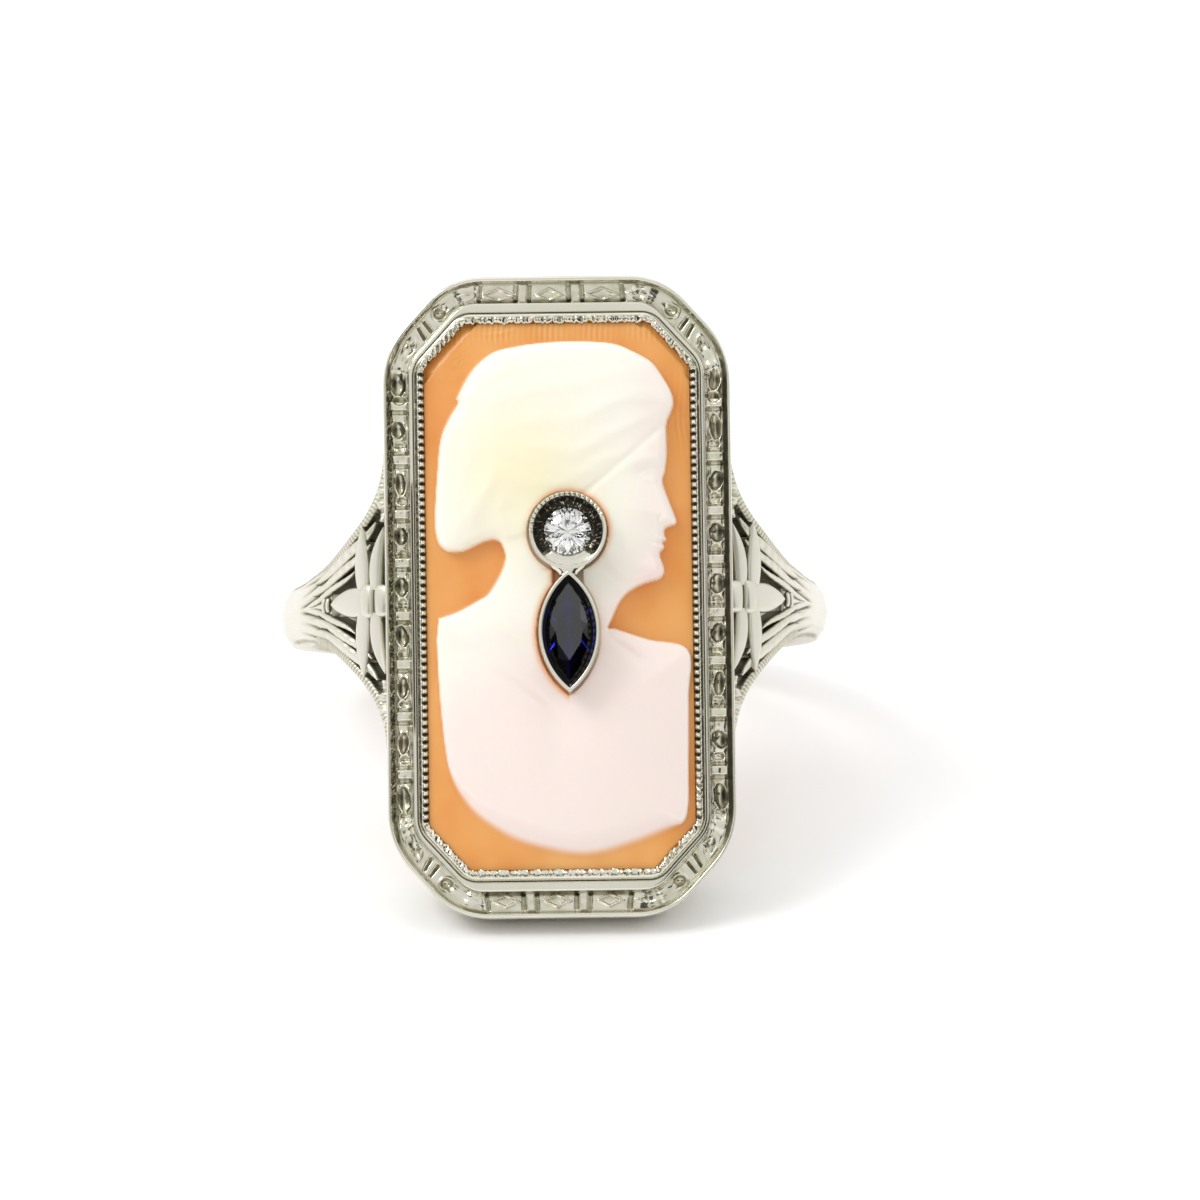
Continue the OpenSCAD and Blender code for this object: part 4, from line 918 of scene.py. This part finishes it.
for label, values in (("cream_layer", layer), ("blush", blush), ("honey", honey), ("painted_glow", painted_glow),
                      ("striae", 0.5 + 0.5 * striae)):
    full = np.concatenate([values.ravel(), np.zeros(5 * len(rim))]).astype(np.float32)
    mesh.attributes.new(label, "FLOAT", "POINT").data.foreach_set("value", full)
mesh.shade_smooth()


def carved_shell():
    """Helmet shell, carved and oiled: porcelain cream with yellow and rose bands over a clear orange
    ground. Light goes a little way in, fine growth lines cross the ground, and the polish is soft."""
    material, tree, shader, place = new_material("carved_helmet_shell")
    reads = {name: add_node(tree, "Attribute", attribute_name=name).outputs["Fac"]
             for name in ("cream_layer", "blush", "honey", "painted_glow", "striae")}
    turned = add_node(tree, "Mapping", {"Vector": place, "Rotation": (0.49, 0.25, 0.35)})
    waves_of_growth = {"Vector": turned.outputs["Vector"], "Scale": 1 / (4.2 * MM),
                       "Distortion": 3.0, "Detail": 2.0, "Detail Scale": 1.2}
    lines = add_node(tree, "TexWave", waves_of_growth).outputs["Fac"]
    patches = clouds(tree, place, 3.5, 3.0)
    orange = toned(tree, patches, [(0.3, "#DD8A40"), (0.5, "#E59A50"), (0.7, "#ECA862")])
    faint = mixed(tree, 0.18, orange, mixed(tree, lines, orange, linear("#F0B071")))
    scratched = mixed(tree, reads["striae"], linear("#D9A27C"), linear("#FFFFFF"))
    ground_colour = mixed(tree, 0.35, faint, scratched, "OVERLAY")
    cream = mixed(tree, reads["blush"], linear("#FCF7EB"), linear("#FAE7E2"))
    yellow = mixed(tree, reads["honey"], cream, linear("#FDF2CE"))
    both = mixed(tree, reads["cream_layer"], ground_colour, yellow)
    bump = add_node(tree, "Bump", {"Height": lines, "Strength": 0.05, "Distance": 0.02 * MM})
    # The painted glow turns the shell orange round the drop.
    fill(tree, shader, {"Base Color": mixed(tree, reads["painted_glow"], both, linear("#EFA66A")),
                        "Normal": bump.outputs["Normal"], "Roughness": 0.33, "IOR": 1.53,
                        "Subsurface Weight": 0.3, "Subsurface Radius": (1.0, 0.5, 0.3),
                        "Subsurface Scale": 0.5 * MM})
    return material


mesh.materials.append(carved_shell())
plaque = bpy.data.objects.new("shell_plaque", mesh)
bpy.context.scene.collection.objects.link(plaque)
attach(plaque, "root")
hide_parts("cameo")

# The drop
# Two collets of white gold joined at a neck. The round one has a ring of fine grains over its upper half,
# a dished inside with painted dark reflection and painted glints, and a polished saddle below the stone.
# A post is riveted over behind the shell.
drop_metal = white_gold("white_gold_bright", 0.13, 0.04)
drop_top = seat_z + 1.3


def turned(profile, steps, centre):
    """A profile of radius and height turned about an upright line through the centre."""
    a = np.linspace(0, 2 * np.pi, steps, endpoint=False)
    r, z = np.array(profile, float).T
    return np.dstack([centre[0] + r[:, None] * np.cos(a), centre[1] + r[:, None] * np.sin(a),
                      np.broadcast_to(z[:, None], (len(r), steps))])


def rounded(profile, reach):
    """A closed profile with its corners rounded by parabolas that start reach from each corner."""
    p = np.array(profile, float)
    ahead = np.roll(p, -1, axis=0) - p
    step = ahead * np.minimum(reach / np.hypot(*ahead.T)[:, None], 0.45)
    t = np.linspace(0, 1, 5)[None, :, None]
    before, after = (p - np.roll(step, 1, axis=0))[:, None], (p + step)[:, None]
    return ((1 - t) ** 2 * before + 2 * t * (1 - t) * p[:, None] + t ** 2 * after).reshape(-1, 2)


round_profile = rounded([(1.22, seat_z), (1.33, drop_top - 0.12), (1.33, drop_top), (1.22, drop_top),
                         (1.17, drop_top - 0.1), (1.04, drop_top - 0.3), (0.9, drop_top - 0.38),
                         (0.8, drop_top - 0.4), (0.78, drop_top - 0.62), (0.78, seat_z)], 0.03)
round_grid = turned(round_profile, 300, (drop_x, drop_y))
angle = np.linspace(0, 2 * np.pi, 300, endpoint=False)
radius, height = round_profile.T
beaded = smooth((np.cos(angle - np.radians(100)) - 0.1) / 0.25)
teeth = np.sqrt(np.clip(1 - (((angle * 44 / (2 * np.pi) + 0.5) % 1 - 0.5) / 0.42) ** 2, 0, 1))
rim_rows = (bell((radius - 1.25) / 0.08) * (height > drop_top - 0.08))[:, None]
round_grid[..., 2] += rim_rows * (beaded * (0.07 * teeth - 0.065) - 0.02 * (1 - beaded))
dish = ((radius < 1.2) & (height < drop_top - 0.03) & (height > drop_top - 0.5))[:, None]
saddle = smooth((np.cos(angle + np.pi / 2) - 0.62) / 0.2) * dish
saddle_rise = 0.75 * (drop_top - 0.08 - height[:, None]) * smooth((radius[:, None] - 0.78) / 0.12)
round_grid[..., 2] += saddle * saddle_rise
# Painted shade between the grains and low on the walls, and painted dark reflection in the dish, left off the
# saddle. Random specks in the dish are left light as painted glints.
round_shade = rim_rows * beaded * (0.8 - 0.8 * teeth)
round_shade = np.maximum(round_shade, 0.98 * dish * (1 - saddle))
round_shade -= 0.8 * dish * (np.random.default_rng(6).random(round_shade.shape) > 0.93)
round_shade = np.where(height[:, None] < drop_top - 0.6, 0.3, np.clip(round_shade, 0, 1))


def lens(inset, steps):
    """The pointed oval moved in by inset: two arcs that meet on the long axis, with steps on each."""
    r = lens_r - inset
    half = np.arcsin(np.sqrt(np.maximum(r * r - lens_x ** 2, 0)) / r)
    a = np.linspace(-half, half, steps, endpoint=False)
    right = np.stack([r * np.cos(a) - lens_x, r * np.sin(a)], 1)
    return np.concatenate([right, -right]) + [drop_x, lens_y]


lens_profile = rounded([(0.12, seat_z), (0.02, drop_top - 0.12), (0.03, drop_top), (0.13, drop_top),
                        (0.17, drop_top - 0.08), (0.22, drop_top - 0.2), (0.26, drop_top - 0.3),
                        (0.3, drop_top - 0.5), (0.34, seat_z)], 0.025)
lens_grid = np.stack([np.column_stack([lens(inset, 90), np.full(180, z)]) for inset, z in lens_profile])
lens_at = np.arange(180)
lens_beads = (0.5 + 0.5 * np.cos(lens_at * 2 * np.pi / 5)) * (lens_at < 70)
inner_rows = (bell((lens_profile[:, 0] - 0.21) / 0.03) * (lens_profile[:, 1] > drop_top - 0.3))[:, None]
lens_grid[..., 2] += 0.05 * inner_rows * lens_beads
sunk = ((lens_profile[:, 0] > 0.15) & (lens_profile[:, 1] < drop_top - 0.03))[:, None]
lens_shade = np.clip(0.95 * sunk - 0.8 * inner_rows * lens_beads, 0, 1)
neck_k = np.linspace(-1, 1, 17)
neck_y = np.linspace(drop_y - collet_r + 0.2, drop_y - collet_r - 0.16, 12)
neck_half = mix(0.6, 0.3, smooth((neck_y[0] - neck_y) / 0.36))
neck_top = drop_top - 0.05 - 0.1 * np.abs(neck_k) ** 3
neck = np.stack([np.column_stack([drop_x + np.append(k * neck_k, [k, -k]), np.full(19, y),
                                  np.append(neck_top, [seat_z, seat_z])])
                 for k, y in zip(neck_half, neck_y)])
post = turned([(0.0, seat_z + 0.1), (0.35, seat_z + 0.1), (0.35, plaque_back_z - 0.05),
               (0.6, plaque_back_z - 0.02), (0.58, plaque_back_z - 0.16), (0.4, plaque_back_z - 0.27),
               (0.0, plaque_back_z - 0.3)], 40, (drop_x, drop_y))
make_piece("drop_collets", [skin(round_grid, round_shade, ring_rows=True),
                            skin(lens_grid, lens_shade, ring_rows=True),
                            skin(neck, 0.0, capped=True), skin(post, 0.1)],
           drop_metal, "drop_mount")

# The stones
# An old-cut diamond with a small table, and a pointed blue sapphire. Both are cut as brilliants: a
# table, stars, kites and halves above the girdle, and mains and halves below it.


def cut_stone(radius_at, centre, girdle_z, table, crown, pavilion):
    """Corners and facets of a brilliant. A corner lies at a share of the girdle's radius in its own
    direction, and the stars' outer corners lie on the kites' planes, which run from table to girdle."""
    eighth = np.arange(8) * np.pi / 4
    half = eighth + np.pi / 8
    sixteen = np.arange(16) * np.pi / 8
    star = 0.5 * (1 + table)

    def ring(a, share, z):
        r = radius_at(a) * share
        return np.column_stack([centre[0] + r * np.cos(a), centre[1] + r * np.sin(a), np.full(len(a), z)])

    points = np.concatenate([
        ring(eighth, table, girdle_z + crown), ring(half, star, girdle_z + crown * 0.58),
        ring(sixteen, 1.0, girdle_z + 0.015), ring(sixteen, 1.0, girdle_z - 0.015),
        ring(half, 0.3, girdle_z - pavilion * 0.8), [[*centre, girdle_z - pavilion]]])
    t, s, g, u, p, c = 0, 8, 16, 32, 48, 56
    faces = [list(range(8))]
    for i in range(8):
        n, before = (i + 1) % 8, (i - 1) % 8
        g0, g1, g2 = 2 * i, 2 * i + 1, (2 * i + 2) % 16
        faces += [[t + n, t + i, s + i], [t + i, s + before, g + g0, s + i],
                  [s + i, g + g0, g + g1], [s + i, g + g1, g + g2],
                  [g + g0, u + g0, u + g1, g + g1], [g + g1, u + g1, u + g2, g + g2],
                  [p + i, u + g1, u + g0], [p + i, u + g2, u + g1], [c, p + i, u + g0, p + before]]
    return points, faces


def stone_piece(name, points, faces, material, node, slot):
    """Puts flat facets into a mesh, laid from the worn axes into the frame of the ring at rest."""
    stone = bpy.data.meshes.new(name)
    stone.from_pydata(bore_centre + points * MM @ worn_axes, [], faces)
    add_piece(name, stone, material, node)


def cut_crystal(name, colour, ior, depth_colour):
    """Cut and polished crystal: clear to its facets, with fine growth bands that deepen its colour."""
    material, tree, shader, place = new_material(name)
    tone = mixed(tree, clouds(tree, place, 0.9, 1.0), linear(colour), linear(depth_colour))
    fill(tree, shader, {"Base Color": tone, "Roughness": 0.01, "IOR": ior, "Transmission Weight": 1.0})
    return material


def lens_radius(a):
    """Distance from the middle of the pointed stone to its girdle: where a ray leaves both circles."""
    r, x = lens_r - 0.24, lens_x
    c = np.abs(np.cos(a))
    return -x * c + np.sqrt(r * r - x * x * np.sin(a) ** 2)


stone_piece("old_cut_diamond", *cut_stone(lambda a: 0.84 + 0 * a, (drop_x, drop_y), seat_z + 0.86, 0.45, 0.3,
                                          0.72), cut_crystal("old_cut_diamond", "#FFFFFF", 2.42, "#F4F6F2"),
            "brilliant", "clear_stone")
stone_piece("pointed_sapphire", *cut_stone(lens_radius, (drop_x, lens_y), drop_top - 0.34, 0.55, 0.2, 0.5),
            cut_crystal("pointed_sapphire", "#1A22C8", 1.77, "#0A0C5A"), "marquise_stone", "blue_stone")

# The studio
# A flat white card in a white tent. Above the camera the tent is a little greyer, and low on the right
# and the left it is open to the dark room, which draws the dark lines in the polished metal.
world = bpy.data.worlds.new("white_tent")
bpy.context.scene.world = world
world.use_nodes = True
room = world.node_tree
room_way = add_node(room, "TexCoord").outputs["Generated"]
tent = None
for toward, stops in (((0.0, -0.85, 0.53), [(0.55, "#FFFFFF"), (0.9, "#FCFCFA"), (1.0, "#F6F6F3")]),
                      ((0.6, -0.79, 0.09), [(0.85, "#FFFFFF"), (0.91, "#35332F"), (1.0, "#121110")]),
                      ((-0.68, -0.73, 0.05), [(0.9, "#FFFFFF"), (0.95, "#403E3A"), (1.0, "#1C1A18")])):
    nearness = add_node(room, "VectorMath", {0: room_way, 1: toward}, operation="DOT_PRODUCT")
    cloth = toned(room, nearness.outputs["Value"], stops)
    tent = mixed(room, 1.0, tent, cloth, "MULTIPLY") if tent else cloth
fill(room, room.nodes["Background"], {"Color": tent, "Strength": 1.0})


def card_white():
    """Matt white card with a faint fibre."""
    material, tree, shader, place = new_material("white_card")
    tone = mixed(tree, clouds(tree, place, 3, 3.0), linear("#FDFCFC"), linear("#FFFEFE"))
    fill(tree, shader, {"Base Color": tone, "Roughness": 0.8})
    return material


card = bpy.data.meshes.new("card")
card.from_pydata([(-3, -3, 0), (3, -3, 0), (3, 3, 0), (-3, 3, 0)], [], [(0, 1, 2, 3)])
card.materials.append(card_white())
floor = bpy.data.objects.new("card", card)
bpy.context.scene.collection.objects.link(floor)

# Soft lights: where each stands, its size and its power in watts. Each looks at the face of the ring.
face_centre = bore_centre + rim_z * MM * worn_axes[2]


def looking_at(place, target, roll=0.0):
    """A place and a turn that points minus Z at the target, with the top leaned over by roll."""
    back = np.array(place) - target
    back /= np.linalg.norm(back)
    right = np.cross([0, 0, 1.0], back)
    right /= np.linalg.norm(right)
    up = np.cross(back, right)
    c, t = np.cos(roll), np.sin(roll)
    turn = Matrix(np.column_stack([c * right + t * up, c * up - t * right, back]).tolist()).to_4x4()
    turn.translation = place
    return turn


for name, place, size, watts in (("key_light", (-0.3, -0.1, 0.42), 0.2, 0.8),
                                 ("fill_light", (0.4, -0.2, 0.3), 0.3, 0.1),
                                 ("top_light", (0.0, 0.25, 0.5), 0.4, 0.3)):
    light = bpy.data.lights.new(name, "AREA")
    light.size = size
    light.energy = watts
    lamp = bpy.data.objects.new(name, light)
    lamp.matrix_world = looking_at(place, face_centre)
    bpy.context.scene.collection.objects.link(lamp)

camera = bpy.data.cameras.new("camera")
camera.angle = np.radians(8.93)
camera.clip_start = 0.01
view = bpy.data.objects.new("camera", camera)
elevation, azimuth, camera_distance = np.radians(24.5), np.radians(-1.4), 0.265
frame_px, picture_px, mm_per_px = np.array([560.0, 596.0]), np.array([600.0, 600.0]), 0.0349
way = np.array([np.sin(azimuth) * np.cos(elevation), -np.cos(azimuth) * np.cos(elevation), np.sin(elevation)])
right = np.array([np.cos(azimuth), np.sin(azimuth), 0])
up = np.cross(way, right)
aim = face_centre + mm_per_px * MM * ((picture_px - frame_px)[0] * right - (picture_px - frame_px)[1] * up)
view.matrix_world = looking_at(aim + way * camera_distance, aim, np.radians(-0.15))
bpy.context.scene.collection.objects.link(view)
bpy.context.scene.camera = view
bpy.context.scene.view_settings.view_transform = "Standard"
